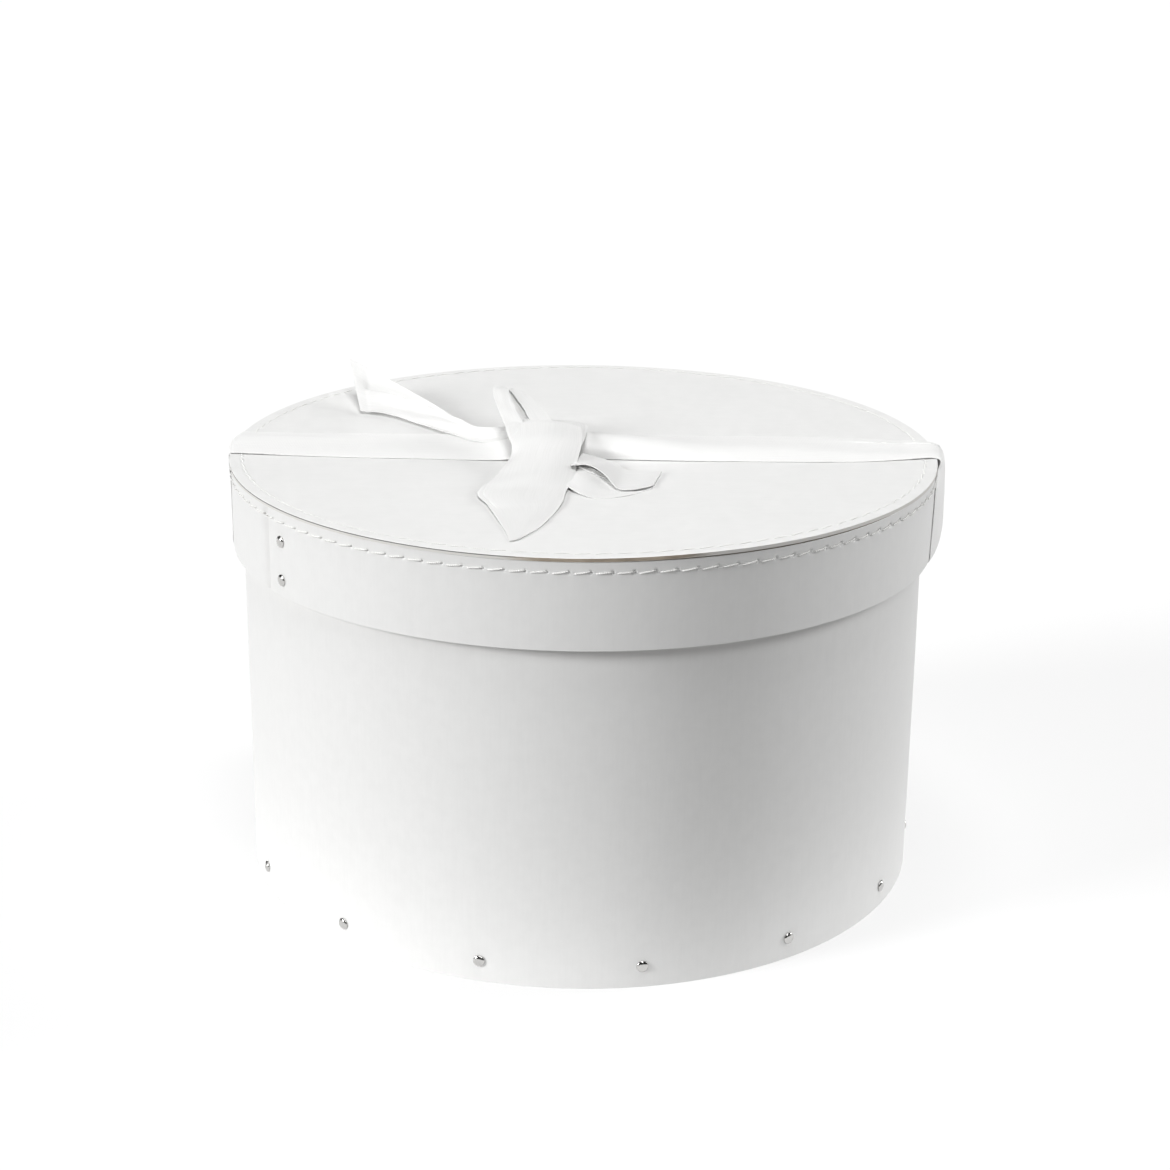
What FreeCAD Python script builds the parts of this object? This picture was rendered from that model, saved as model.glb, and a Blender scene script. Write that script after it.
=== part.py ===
import FreeCAD, Part
import math
import os
import re
import Sketcher
from FreeCAD import Placement, Rotation, Vector

# A round hat box of white coated board, in millimetres. The base board stands on z = 0 and
# the box's axis is +Z; -Y is the front. Azimuths are counted from the front, towards +X.
#
# The box: a rolled wall with a riveted lap, and a base board whose tabs are riveted to it.
# The lid: a board disc stitched to a rolled band with a riveted lap, and a ribbon over it.

X_AXIS, Z_AXIS = Vector(1, 0, 0), Vector(0, 0, 1)
HALF_TURN = Rotation(Vector(0, 1, 0), 180)
DEG = "57.29578"                    # degrees in a radian, for formulas

SIZES = {
    # the box
    "wall_diameter": 387.0,         # outside of the rolled wall
    "wall_height": 238.3,           # its top edge carries the lid
    "wall_board": 2.0,
    "base_board_thickness": 2.0,
    "base_gap": 0.15,               # base board to the wall's inner face
    "tab_height": 22.0,             # tabs folded up from the base board
    "tab_notch": 44.0,              # open stretch between two tabs
    "lap_relief": 0.3,              # base board to the inner end of the lap
    # the lid
    "lid_gap": 3.9,                 # lid band's inner face to the wall's outer face
    "band_board": 2.0,
    "lid_board": 2.2,
    "lid_depth": 49.1,              # from the lid's top face to the band's lower edge
    "lid_overhang": 0.6,            # disc beyond the band
    # the laps of the two rolled strips
    "lap_length": 25.0,
    "lap_step": 9.0,                # length over which the inner end steps inwards
    "lap_gap": 0.05,
    "band_lap_azimuth": -52.6,
    "cut_reach": 2.0,               # how far a drill or a notch passes through a face
    # double-cap rivets
    "head_diameter": 6.5,
    "head_height": 1.7,
    "shank_diameter": 3.0,
    "shank_gap": 0.05,              # shank to its hole
    "cap_height": 1.3,
    "cap_gap": 0.05,                # flat cap on a hollow wall
    "base_rivet_count": 14,
    "base_rivet_level": 12.0,
    "base_rivet_azimuth": 9.94,     # the first one; the others follow at equal steps
    "wall_rivet_count": 4,
    "wall_rivet_level": 34.0,       # the lowest rivet of the wall's lap
    "wall_rivet_pitch": 46.0,
    "band_rivet_count": 2,
    "band_rivet_level": 9.3,        # the lower rivet, above the band's lower edge
    "band_rivet_pitch": 21.4,
    # the stitches that join the disc and the band
    "stitch_count": 116,
    "stitch_length": 8.0,
    "thread_diameter": 1.2,
    "stitch_drop": 7.8,             # side stitches, below the lid's top face
    "stitch_inset": 7.0,            # top stitches, inside the disc's edge
    "stitch_slope": 7.0,            # degrees, rising to the right
    "stitch_clearance": 0.05,
    # the ribbon
    "ribbon_width": 50.0,
    "ribbon_thickness": 1.0,
    "ribbon_lift": 1.4,             # strap over the lid's top face, clear of the stitches
    "ribbon_bulge": 3.6,            # drop beyond the disc's edge
    "ribbon_tuck": 30.0,            # end that turns up inside the band
    "ribbon_tuck_gap": 0.8,         # tucked end to the wall
    "ribbon_corner": 1.0,           # how far from each edge of the lid the strap bends
    "ribbon_mitre": 0.4,            # the outer face's corner beyond the inner one's
    "right_strap_lift": 9.0,        # right strap where it leaves the knot
    "right_strap_landing": 110.0,   # where it comes down on the lid, from the axis
    "knot_left": 44.0,              # the knot's faces, from the lid's axis
    "knot_right": 2.0,
    "knot_front": 30.0,
    "knot_back": 22.0,
    "knot_height": 15.0,
    "knot_rounding": 4.0,
}

# What follows from them, as the sheet's own formulas.
DERIVED = {
    "wall_radius": "wall_diameter / 2",
    "wall_inner_radius": "wall_radius - wall_board",
    "base_radius": "wall_inner_radius - base_gap",
    "tab_inner_radius": "base_radius - base_board_thickness",
    "band_inner_radius": "wall_radius + lid_gap",
    "band_radius": "band_inner_radius + band_board",
    "lid_radius": "band_radius + lid_overhang",
    "top_level": "wall_height + lid_board",
    "rim_level": "top_level - lid_depth",
    "band_height": "wall_height - rim_level",
    "base_rivet_step": "360 / base_rivet_count",
    "wall_lap_azimuth": "base_rivet_azimuth + 180 - base_rivet_step / 2",
}
ALIASES = {alias: "Sizes." + alias for alias in (*SIZES, *DERIVED)}

# The bow's loops and tails as stations along each ribbon: the point on its one edge and the
# point on its other edge, with heights above the lid's top face.
TAIL_BACK = [((-44, 2, 6), (-44, 16, 10)), ((-66, 10, 5), (-66, 26, 11)),
             ((-89, 22, 4.5), (-89, 46, 13)), ((-107, 44, 3.5), (-104, 74, 15)),
             ((-120, 54, 3), (-120, 92, 19)), ((-131, 60, 3), (-141, 104, 26))]
TAIL_FRONT = [((-40, -30, 6), (-12, -30, 8)), ((-48, -62, 6), (-9, -60, 7)),
              ((-53, -92, 6), (-8, -88, 4)), ((-49, -120, 5), (-10, -108, 3)),
              ((-36, -176, 3), (-12, -128, 3))]
LOOP_BACK = [((-42, -10, 15), (-30, -13, 15)), ((-47, -2, 19.5), (-34, -4, 19)),
             ((-52, 6, 24.5), (-37, 6, 23)), ((-54.5, 12, 27.3), (-38.5, 14, 25.5)),
             ((-54.5, 16.5, 28), (-37.5, 19.5, 26)), ((-52.5, 20, 26.7), (-35, 23.5, 24.5)),
             ((-48, 20.5, 23), (-30.5, 24, 21)), ((-43, 17, 19), (-26.5, 19.5, 17.5)),
             ((-39, 12, 15), (-25, 12, 15))]
LOOP_FRONT = [((-9, -30, 4), (-3, -30, 4)), ((-4, -58, 2.5), (10, -46, 2.5)),
              ((2, -80, 2.2), (22, -62, 2.2)), ((10, -92, 2.6), (30, -71, 2.6)),
              ((17, -98, 5), (36, -77, 5)), ((19, -99, 8.5), (38, -79, 8.5)),
              ((17, -96, 12), (36, -76, 12)), ((11, -87, 14.5), (31, -68, 14)),
              ((3, -70, 15), (21, -54, 14)), ((-3, -48, 13.5), (8, -40, 13)),
              ((-7, -30, 11), (-3, -30, 11))]

# Ends that lie on a flat face of the knot: the direction their section faces.
END_NORMALS = {
    ("ribbon_tail_back", 0): Vector(-1, 0, 0),
    ("ribbon_tail_front", 0): Vector(0, -1, 0),
    ("ribbon_loop_back", 0): Vector(0, 0, 1),
    ("ribbon_loop_back", 8): Vector(0, 0, -1),
    ("ribbon_loop_front", 0): Vector(0, -1, 0),
    ("ribbon_loop_front", 10): Vector(0, 1, 0),
}


def make_sheet(doc):
    """Puts the driving sizes and the derived ones into a spreadsheet, one row each."""
    sheet = doc.addObject("Spreadsheet::Sheet", "Sizes")
    row = 0
    for alias, value in SIZES.items():
        row += 1
        sheet.set(f"A{row}", alias)
        sheet.set(f"B{row}", str(value))
        sheet.setAlias(f"B{row}", alias)
    for alias, formula in DERIVED.items():
        row += 1
        sheet.set(f"A{row}", alias)
        sheet.set(f"B{row}", "=" + formula)
        sheet.setAlias(f"B{row}", alias)
    doc.recompute()
    return sheet


def size(expression):
    """The value of a formula in the sheet's aliases, for a first position or a count."""
    return float(DOC.Sizes.evalExpression(bind(expression)))


def bind(expression):
    """The same formula with every alias of the sheet written as Sizes.alias."""
    return re.sub(r"[a-z]\w*", lambda word: ALIASES.get(word.group(), word.group()),
                  str(expression))


def add(kind, name, **sizes):
    """A document object whose properties are bound to formulas in the sheet's aliases."""
    thing = DOC.addObject(kind, name)
    thing.Label = name
    for prop, expression in sizes.items():
        thing.setExpression(prop, bind(expression))
    return thing


def place(thing, x=0, y=0, z=0, rotation=Rotation()):
    """Turns a thing by a fixed rotation and binds its place to three formulas."""
    thing.Placement = Placement(Vector(0, 0, 0), rotation)
    for axis, expression in zip("xyz", (x, y, z)):
        if expression != 0:
            thing.setExpression(f"Placement.Base.{axis}", bind(expression))
    return thing


def cut(name, base, *tools):
    """base without the tools."""
    tool = tools[0]
    if len(tools) > 1:
        tool = add("Part::Compound", name + "_tools")
        tool.Links = list(tools)
    result = add("Part::Cut", name)
    result.Base, result.Tool = base, tool
    return result


def fuse(name, *pieces):
    """The pieces as one solid."""
    result = add("Part::MultiFuse", name)
    result.Shapes = list(pieces)
    result.Refine = True
    return result


# ---------------------------------------------------------------- sketched bodies


def plane_of(body, role):
    """One of a body's own origin planes or axes, found by its role."""
    return next(f for f in body.Origin.OriginFeatures if f.Role == role)


def side_sketch(body, name, level="0"):
    """A sketch in the plane x = 0 whose x is the distance out to the front and whose H axis
    lies at the given level."""
    sketch = body.newObject("Sketcher::SketchObject", name)
    sketch.AttachmentSupport = [(plane_of(body, "YZ_Plane"), "")]
    sketch.MapMode = "FlatFace"
    sketch.AttachmentOffset = Placement(Vector(0, 0, 0), HALF_TURN)
    sketch.setExpression("AttachmentOffset.Base.y", bind(level))
    return sketch


def pin_point(sketch, element, point, x, y):
    """Binds one point of a sketch to two formulas; a coordinate of 0 puts it on the axis."""
    for kind, axis, expression in (("DistanceX", -2, x), ("DistanceY", -1, y)):
        if expression == "0":
            sketch.addConstraint(Sketcher.Constraint("PointOnObject", element, point, axis))
            continue
        value = size(expression)
        number = sketch.addConstraint(Sketcher.Constraint(kind, -1, 1, element, point, value))
        sketch.setExpression(f"Constraints[{number}]", bind(expression))


def outline(sketch, corners, arc=None):
    """A closed outline through the corners, each bound to two formulas. Side number arc,
    if given, is round, with its centre on the H axis."""
    points = [Vector(size(x), size(y), 0) for x, y in corners]
    count = len(points)
    for i, start in enumerate(points):
        end = points[(i + 1) % count]
        if i != arc:
            sketch.addGeometry(Part.LineSegment(start, end), False)
            continue
        height, half = abs(end.x - start.x), abs(end.y - start.y)
        radius = (half ** 2 + height ** 2) / (2 * height)
        middle = Vector(end.x - math.copysign(radius, end.x - start.x), 0, 0)
        bow = (start + end) * 0.5 - middle
        through = middle + bow * (radius / bow.Length)
        sketch.addGeometry(Part.Arc(start, through, end), False)
    for i in range(count):
        pin_point(sketch, *corner_of(sketch, points, i), *corners[i])
    for i in range(count):
        here, before = corner_of(sketch, points, i), corner_of(sketch, points, i, before=True)
        sketch.addConstraint(Sketcher.Constraint("Coincident", *before, *here))
    if arc is not None:
        sketch.addConstraint(Sketcher.Constraint("PointOnObject", arc, 3, -1))
    return sketch


def corner_of(sketch, points, i, before=False):
    """The element and end that lie on corner i: those of the side that starts there, or of
    the side before it. An arc may run backwards, so its ends are compared."""
    side = (i - 1) % len(points) if before else i
    for end in (1, 2):
        if sketch.getPoint(side, end).distanceToPoint(points[i]) < 1e-6:
            return side, end
    raise ValueError("a side of the outline doesn't reach its corner")


def polar(body, feature, count):
    """Repeats a feature all round the axis."""
    pattern = body.newObject("PartDesign::PolarPattern", body.Name + "_round")
    pattern.Originals = [feature]
    pattern.Axis = (plane_of(body, "Z_Axis"), [""])
    pattern.Angle = 360
    pattern.setExpression("Occurrences", bind(count))
    body.Tip = pattern


def linear(body, feature, count, pitch):
    """Repeats a feature upwards at equal steps."""
    pattern = body.newObject("PartDesign::LinearPattern", body.Name + "_row")
    pattern.Originals = [feature]
    pattern.Direction = (plane_of(body, "Z_Axis"), [""])
    pattern.setExpression("Length", bind(f"({count} - 1) * {pitch}"))
    pattern.setExpression("Occurrences", bind(count))
    body.Tip = pattern


def turned(name, level, corners, arc=None):
    """A body turned about a line that runs out to the front at the given level."""
    body = add("PartDesign::Body", name)
    sketch = outline(side_sketch(body, name + "_outline", level), corners, arc)
    solid = body.newObject("PartDesign::Revolution", name + "_turned")
    solid.Profile = sketch
    solid.ReferenceAxis = (sketch, ["H_Axis"])
    solid.Angle = 360
    body.Tip = solid
    return body, solid


def face_azimuth(body, azimuth):
    """Turns a body that was made at the front to an azimuth."""
    body.Placement = Placement(Vector(0, 0, 0), Rotation(Z_AXIS, 1))
    body.setExpression("Placement.Rotation.Angle", bind(azimuth))


def rivet_set(prefix, seat, cap_seat, level, azimuth, count, pitch=None):
    """Double-cap rivets on one ring or in one upright row: the heads with their shanks, the
    caps inside, and the pins that drill their holes."""
    head = [(cap_seat, "0"), (cap_seat, "shank_diameter / 2"), (seat, "shank_diameter / 2"),
            (seat, "head_diameter / 2"), (f"{seat} + head_height", "0")]
    cap = [(cap_seat, "0"), (cap_seat, "head_diameter / 2"),
           (f"{cap_seat} - cap_height", "0")]
    drill_radius = "shank_diameter / 2 + shank_gap"
    start, end = f"{cap_seat} - cut_reach", f"{seat} + cut_reach"
    drill = [(start, "0"), (start, drill_radius), (end, drill_radius), (end, "0")]
    bodies = []
    for name, corners, arc in ((f"{prefix}_rivets", head, 3), (f"{prefix}_rivet_caps", cap, 1),
                               (f"{prefix}_rivet_drills", drill, None)):
        body, solid = turned(name, level, corners, arc)
        if pitch is None:
            polar(body, solid, count)
        else:
            linear(body, solid, count, pitch)
        face_azimuth(body, azimuth)
        bodies.append(body)
    return bodies


# ---------------------------------------------------------------- rolled strips


def ring(name, outer, inner, height, angle):
    """A ring, or the part of it from +X round to angle."""
    outside = add("Part::Cylinder", name + "_outside", Radius=outer, Height=height, Angle=angle)
    inside = add("Part::Cylinder", name + "_inside", Radius=inner, Height=height)
    return cut(name, outside, inside)


def rolled_strip(name, radius, board, height, level, azimuth, drills):
    """A strip of board rolled into a ring. Its inner end steps in by one board and runs on
    behind its outer end, and the rivets stand on the middle of that lap."""
    step_angle = f"({DEG} * lap_step / ({radius}))"
    lap_angle = f"({DEG} * lap_length / ({radius}))"
    tail_radius = f"({radius} - {board} - lap_gap)"
    main = ring(name + "_round", radius, f"{radius} - {board}", height, f"360 - {step_angle}")
    tail = ring(name + "_tail", tail_radius, f"{tail_radius} - {board}", height, lap_angle)
    ends = []
    for part, outer, angle in (("step_start", radius, step_angle), ("step_end", tail_radius, "0")):
        face = add("Part::Plane", f"{name}_{part}", Length=board, Width=height)
        upright = Rotation(Vector(1, 0, 0), 90)
        turn = Rotation(Z_AXIS, -size(angle))
        along = f"({outer} - {board})"
        place(face, f"{along} * cos({angle} * 1deg)", f"-{along} * sin({angle} * 1deg)", "0",
              turn * upright)
        ends.append(face)
    step = add("Part::Loft", name + "_step")
    step.Sections, step.Solid, step.Ruled = ends, True, True
    strip = fuse(name + "_strip", main, step, tail)
    strip.Placement = Placement(Vector(0, 0, 0), Rotation(Z_AXIS, 1))
    strip.setExpression("Placement.Rotation.Angle", bind(f"{azimuth} - 90 - {lap_angle} / 2"))
    strip.setExpression("Placement.Base.z", bind(level))
    return cut(name, strip, *drills)


# ---------------------------------------------------------------- the box


def make_base_board(drills):
    """A disc with a flange folded up round it. The flange is notched into one tab for each
    rivet, and the notch at the wall's lap goes down through the disc."""
    disc = add("Part::Cylinder", "base_disc", Radius="base_radius", Height="base_board_thickness")
    flange = ring("base_flange", "base_radius", "tab_inner_radius", "tab_height", "360")
    # The notch at the lap takes in the whole inner end of the strip. Its floor is flat, so it
    # goes deeper by that chord's own height, from one board outside the disc.
    lap_width = "(lap_length + 2 * (lap_step + lap_relief))"
    chord_height = f"({lap_width}) ^ 2 / (8 * (wall_inner_radius - wall_board))"
    lap_depth = f"2 * wall_board + lap_gap + lap_relief - base_gap + {chord_height}"
    notches = []
    for i in range(int(SIZES["base_rivet_count"])):
        at_lap = i == int(SIZES["base_rivet_count"]) // 2 - 1
        floor = "-cut_reach" if at_lap else "base_board_thickness"
        depth = lap_depth if at_lap else "4 * base_board_thickness"
        width = lap_width if at_lap else "tab_notch"
        notch = add("Part::Box", f"notch_{i + 1}", Length=width, Width=depth,
                    Height="tab_height + 2 * cut_reach")
        azimuth = f"(base_rivet_azimuth + base_rivet_step * {i + 0.5})"
        turn = Rotation(Z_AXIS, size(azimuth))
        across, out = f"({width} / 2)", "(base_radius + wall_board)"
        place(notch,
              f"-{across} * cos({azimuth} * 1deg) + {out} * sin({azimuth} * 1deg)",
              f"-{across} * sin({azimuth} * 1deg) - {out} * cos({azimuth} * 1deg)",
              floor, turn)
        notches.append(notch)
    blank = fuse("base_blank", disc, flange)
    return cut("base_board", blank, *notches, drills)


# ---------------------------------------------------------------- the lid


def make_lid_top():
    """The lid's disc, a plain cut board that rests on the band."""
    disc = add("Part::Cylinder", "lid_top", Radius="lid_radius", Height="lid_board")
    return place(disc, z="wall_height")


def make_stitches(name, out, level, slope):
    """One stitch at the front, a round thread with pointed ends, repeated round the lid."""
    body = add("PartDesign::Body", name)
    sketch = body.newObject("Sketcher::SketchObject", name + "_outline")
    sketch.AttachmentSupport = [(plane_of(body, "XZ_Plane"), "")]
    sketch.MapMode = "FlatFace"
    sketch.AttachmentOffset = Placement(Vector(0, 0, 0), Rotation(Z_AXIS, 1))
    sketch.setExpression("AttachmentOffset.Rotation.Angle", bind(slope))
    sketch.setExpression("AttachmentOffset.Base.y", bind(level))
    sketch.setExpression("AttachmentOffset.Base.z", bind(out))
    half, radius = "stitch_length / 2", "thread_diameter / 2"
    outline(sketch, [(f"-{half}", "0"), (f"-{half} + {radius}", radius),
                     (f"{half} - {radius}", radius), (half, "0")])
    stitch = body.newObject("PartDesign::Revolution", name + "_turned")
    stitch.Profile = sketch
    stitch.ReferenceAxis = (sketch, ["H_Axis"])
    stitch.Angle = 360
    body.Tip = stitch
    polar(body, stitch, "stitch_count")
    return body


# ---------------------------------------------------------------- the ribbon


def make_strap(name, side, points):
    """A ribbon of constant width, from points along its inner face at distances from the
    axis and levels, each with the matching point of its outer face. side is -1 or 1."""
    body = add("PartDesign::Body", name)
    sketch = body.newObject("Sketcher::SketchObject", name + "_outline")
    sketch.AttachmentSupport = [(plane_of(body, "XZ_Plane"), "")]
    sketch.MapMode = "FlatFace"
    outline(sketch, [(x if side > 0 else f"-({x})", z) for x, z in points])
    pad = body.newObject("PartDesign::Pad", name + "_pad")
    pad.Profile = sketch
    pad.Midplane = True
    pad.setExpression("Length", bind("ribbon_width"))
    body.Tip = pad
    return body


def drop_points(start):
    """The strap's outline from its start at the knot over the lid's edge, down the band and
    up inside it."""
    lower, upper = "top_level + ribbon_lift", "top_level + ribbon_lift + ribbon_thickness"
    inside, outside = "lid_radius + ribbon_bulge", "lid_radius + ribbon_bulge + ribbon_thickness"
    under = "rim_level - ribbon_thickness"
    tuck = "wall_radius + ribbon_tuck_gap"
    tuck_top = "rim_level + ribbon_tuck"
    outer = "(ribbon_thickness - ribbon_mitre)"
    near, far = start
    return near + [
        ("lid_radius + ribbon_corner", lower),
        (inside, "top_level - 2 * ribbon_corner"),
        (inside, "rim_level + ribbon_corner"),
        ("band_radius - ribbon_corner", f"{under} + ribbon_thickness / 2"),
        (f"{tuck} + ribbon_thickness", under),
        (f"{tuck} + ribbon_thickness", tuck_top),
        (tuck, tuck_top),
        (tuck, f"{under} - ribbon_thickness"),
        ("band_radius - ribbon_corner", f"{under} - {outer}"),
        (outside, f"rim_level + ribbon_corner - {outer}"),
        (outside, f"top_level - 2 * ribbon_corner + {outer}"),
        ("lid_radius + ribbon_corner + ribbon_mitre", upper),
    ] + far


def make_ribbon(name, stations):
    """A ribbon that changes width and turns: rectangles on its stations, lofted."""
    middles = [(Vector(*a) + Vector(*b)) * 0.5 for a, b in stations]
    sections = []
    for i, (edge, other) in enumerate(stations):
        across = Vector(*other) - Vector(*edge)
        before, after = middles[max(i - 1, 0)], middles[min(i + 1, len(middles) - 1)]
        along = after - before
        if i == 0 or i == len(stations) - 1:
            along = END_NORMALS.get((name, i), along)
        thick = along.cross(across).normalize()
        section = add("Part::Plane", f"{name}_{i + 1}", Width="ribbon_thickness")
        section.Length = across.Length
        turn = Rotation(across, thick, Vector(0, 0, 0), "XYZ")
        corner = Vector(*edge) - thick * (SIZES["ribbon_thickness"] / 2)
        place(section, corner.x, corner.y, f"top_level + {corner.z}", turn)
        sections.append(section)
    ribbon = add("Part::Loft", name)
    ribbon.Sections, ribbon.Solid, ribbon.Ruled = sections, True, True
    return ribbon


def make_knot():
    """The knot as a rounded block, with flat faces where the ribbon's parts leave it."""
    block = add("Part::Box", "knot_block", Length="knot_left + knot_right",
                Width="knot_front + knot_back", Height="knot_height - ribbon_lift")
    place(block, "-knot_left", "-knot_front", "top_level + ribbon_lift")
    DOC.recompute()
    knot = add("Part::Fillet", "ribbon_knot")
    knot.Base = block
    upright = [i + 1 for i, edge in enumerate(block.Shape.Edges)
               if abs(edge.tangentAt(edge.FirstParameter).z) > 0.9]
    radius = SIZES["knot_rounding"]
    knot.Edges = [(number, radius, radius) for number in upright]
    return knot


def build():
    """Makes every sub-part and returns them."""
    parts = []
    base_set = rivet_set("base", "wall_radius", "tab_inner_radius - cap_gap",
                         "base_rivet_level", "base_rivet_azimuth", "base_rivet_count")
    wall_set = rivet_set("wall", "wall_radius",
                         "wall_radius - 2 * wall_board - lap_gap - cap_gap",
                         "wall_rivet_level", "wall_lap_azimuth", "wall_rivet_count",
                         "wall_rivet_pitch")
    band_set = rivet_set("band", "band_radius",
                         "band_radius - 2 * band_board - lap_gap - cap_gap",
                         "rim_level + band_rivet_level", "band_lap_azimuth",
                         "band_rivet_count", "band_rivet_pitch")
    for heads, caps, _ in (base_set, wall_set, band_set):
        parts += [heads, caps]
    parts.append(rolled_strip("box_wall", "wall_radius", "wall_board", "wall_height", "0",
                              "wall_lap_azimuth", (base_set[2], wall_set[2])))
    parts.append(make_base_board(base_set[2]))
    parts.append(rolled_strip("lid_band", "band_radius", "band_board", "band_height",
                              "rim_level", "band_lap_azimuth", (band_set[2],)))
    parts.append(make_lid_top())
    thread_out = "thread_diameter / 2 + stitch_clearance"
    parts.append(make_stitches("lid_side_stitches", f"band_radius + {thread_out}",
                               "top_level - stitch_drop", "stitch_slope"))
    parts.append(make_stitches("lid_top_stitches", "lid_radius - stitch_inset",
                               f"top_level + {thread_out}", "0.001"))
    lower, upper = "top_level + ribbon_lift", "top_level + ribbon_lift + ribbon_thickness"
    parts.append(make_strap("ribbon_left", -1,
                            drop_points(([("knot_left", lower)], [("knot_left", upper)]))))
    raised = "top_level + right_strap_lift"
    near = [("knot_right", raised), ("right_strap_landing", lower)]
    far = [("right_strap_landing", upper), ("knot_right", f"{raised} + ribbon_thickness")]
    parts.append(make_strap("ribbon_right", 1, drop_points((near, far))))
    parts.append(make_knot())
    for name, stations in (("ribbon_tail_back", TAIL_BACK), ("ribbon_tail_front", TAIL_FRONT),
                           ("ribbon_loop_back", LOOP_BACK), ("ribbon_loop_front", LOOP_FRONT)):
        parts.append(make_ribbon(name, stations))
    return parts


def check(doc, parts):
    """Stops on a failed object or an empty or invalid shape, and prints each volume."""
    for thing in doc.Objects:
        if "Invalid" in thing.State or "Error" in thing.State:
            raise RuntimeError(f"{thing.Label} failed: {thing.State}")
    for part in parts:
        shape = part.Shape
        if shape.isNull() or not shape.isValid() or shape.Volume <= 0:
            raise RuntimeError(f"{part.Label} has no valid shape")
        print(f"{part.Label}: {len(shape.Solids)} solids, {shape.Volume:.0f} mm3")


DOC = FreeCAD.newDocument("hat_box")
make_sheet(DOC)
PARTS = build()
DOC.recompute()
check(DOC, PARTS)
os.makedirs("parts", exist_ok=True)
for PART in PARTS:
    PART.Shape.exportStep(f"parts/{PART.Label}.step")
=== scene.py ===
"""The visible surfaces and finishes of a round hat box of white coated board.

The box is a rolled, riveted drum with a flat base. Its lid is a board disc stitched to a
rolled band, and a white ribbon is tied in a bow across it. All lengths are in metres and
+Z is up; azimuths are counted from the front (-Y) towards +X.
"""

import logging
import math
from dataclasses import dataclass, field
from enum import Enum
from typing import Any, Sequence

import bmesh
import bpy
import numpy as np
from mathutils import Matrix, Vector


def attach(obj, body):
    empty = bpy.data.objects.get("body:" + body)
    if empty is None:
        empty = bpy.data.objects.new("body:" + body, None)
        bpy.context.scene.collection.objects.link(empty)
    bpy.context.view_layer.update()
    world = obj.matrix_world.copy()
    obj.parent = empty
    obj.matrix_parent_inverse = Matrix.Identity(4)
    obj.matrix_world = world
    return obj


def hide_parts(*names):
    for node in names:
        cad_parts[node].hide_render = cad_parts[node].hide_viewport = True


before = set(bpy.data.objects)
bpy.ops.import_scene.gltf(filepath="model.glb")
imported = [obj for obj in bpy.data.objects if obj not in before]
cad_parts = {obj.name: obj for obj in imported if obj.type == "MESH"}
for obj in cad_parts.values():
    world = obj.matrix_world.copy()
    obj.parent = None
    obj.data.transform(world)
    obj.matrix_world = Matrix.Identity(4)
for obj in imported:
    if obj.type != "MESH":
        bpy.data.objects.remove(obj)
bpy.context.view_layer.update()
LOG = logging.getLogger("hat_box")
MM = 0.001
TURN = 2 * math.pi


class Body(Enum):
    """The two bodies of the frame that pieces ride on."""

    BOX = "box"
    LID = "lid"


class Slot(Enum):
    """The record's material slots."""

    BOARD = "board"
    RIVET = "rivet"
    THREAD = "thread"
    RIBBON = "ribbon"


class Face(Enum):
    """The sides of a slab, as the material index of their faces."""

    COATED = 0
    CUT = 1


# ------------------------------------------------------------------ shader helpers


def linear(colour: str) -> tuple[float, float, float, float]:
    """Turns an sRGB hex colour into linear RGBA by the sRGB transfer curve.

    Args:
        colour: a colour such as "#f2f1ee".

    Returns:
        Red, green, blue and an alpha of 1, each from 0 to 1.
    """
    channels = [int(colour[i : i + 2], 16) / 255 for i in (1, 3, 5)]
    curve = [c / 12.92 if c <= 0.04045 else ((c + 0.055) / 1.055) ** 2.4 for c in channels]
    return (*curve, 1.0)


def add_node(tree: bpy.types.NodeTree, kind: str, settings: dict[str, Any] | None = None,
             **inputs: Any) -> bpy.types.Node:
    """Adds a node, sets its options, and fills or links its inputs.

    Args:
        tree: the node tree it goes into.
        kind: the node's type name.
        settings: attributes of the node itself.
        inputs: values or output sockets by the input's name, with _ for a space.

    Returns:
        The new node.
    """
    made = tree.nodes.new(kind)
    for name, value in (settings or {}).items():
        setattr(made, name, value)
    for name, value in inputs.items():
        key = int(name[1:]) if name[0] == "i" and name[1:].isdigit() else name.replace("_", " ")
        if isinstance(value, bpy.types.NodeSocket):
            tree.links.new(value, made.inputs[key])
        else:
            made.inputs[key].default_value = value
    return made


def shaded(name: str) -> tuple[bpy.types.Material, bpy.types.NodeTree, bpy.types.Node]:
    """A new material, its node tree and its one Principled shader.

    Args:
        name: the material's name.

    Returns:
        The material, its node tree and its shader.
    """
    material = bpy.data.materials.new(name)
    material.use_nodes = True
    tree = material.node_tree
    return material, tree, tree.nodes["Principled BSDF"]


# ------------------------------------------------------------------ finishes


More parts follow.
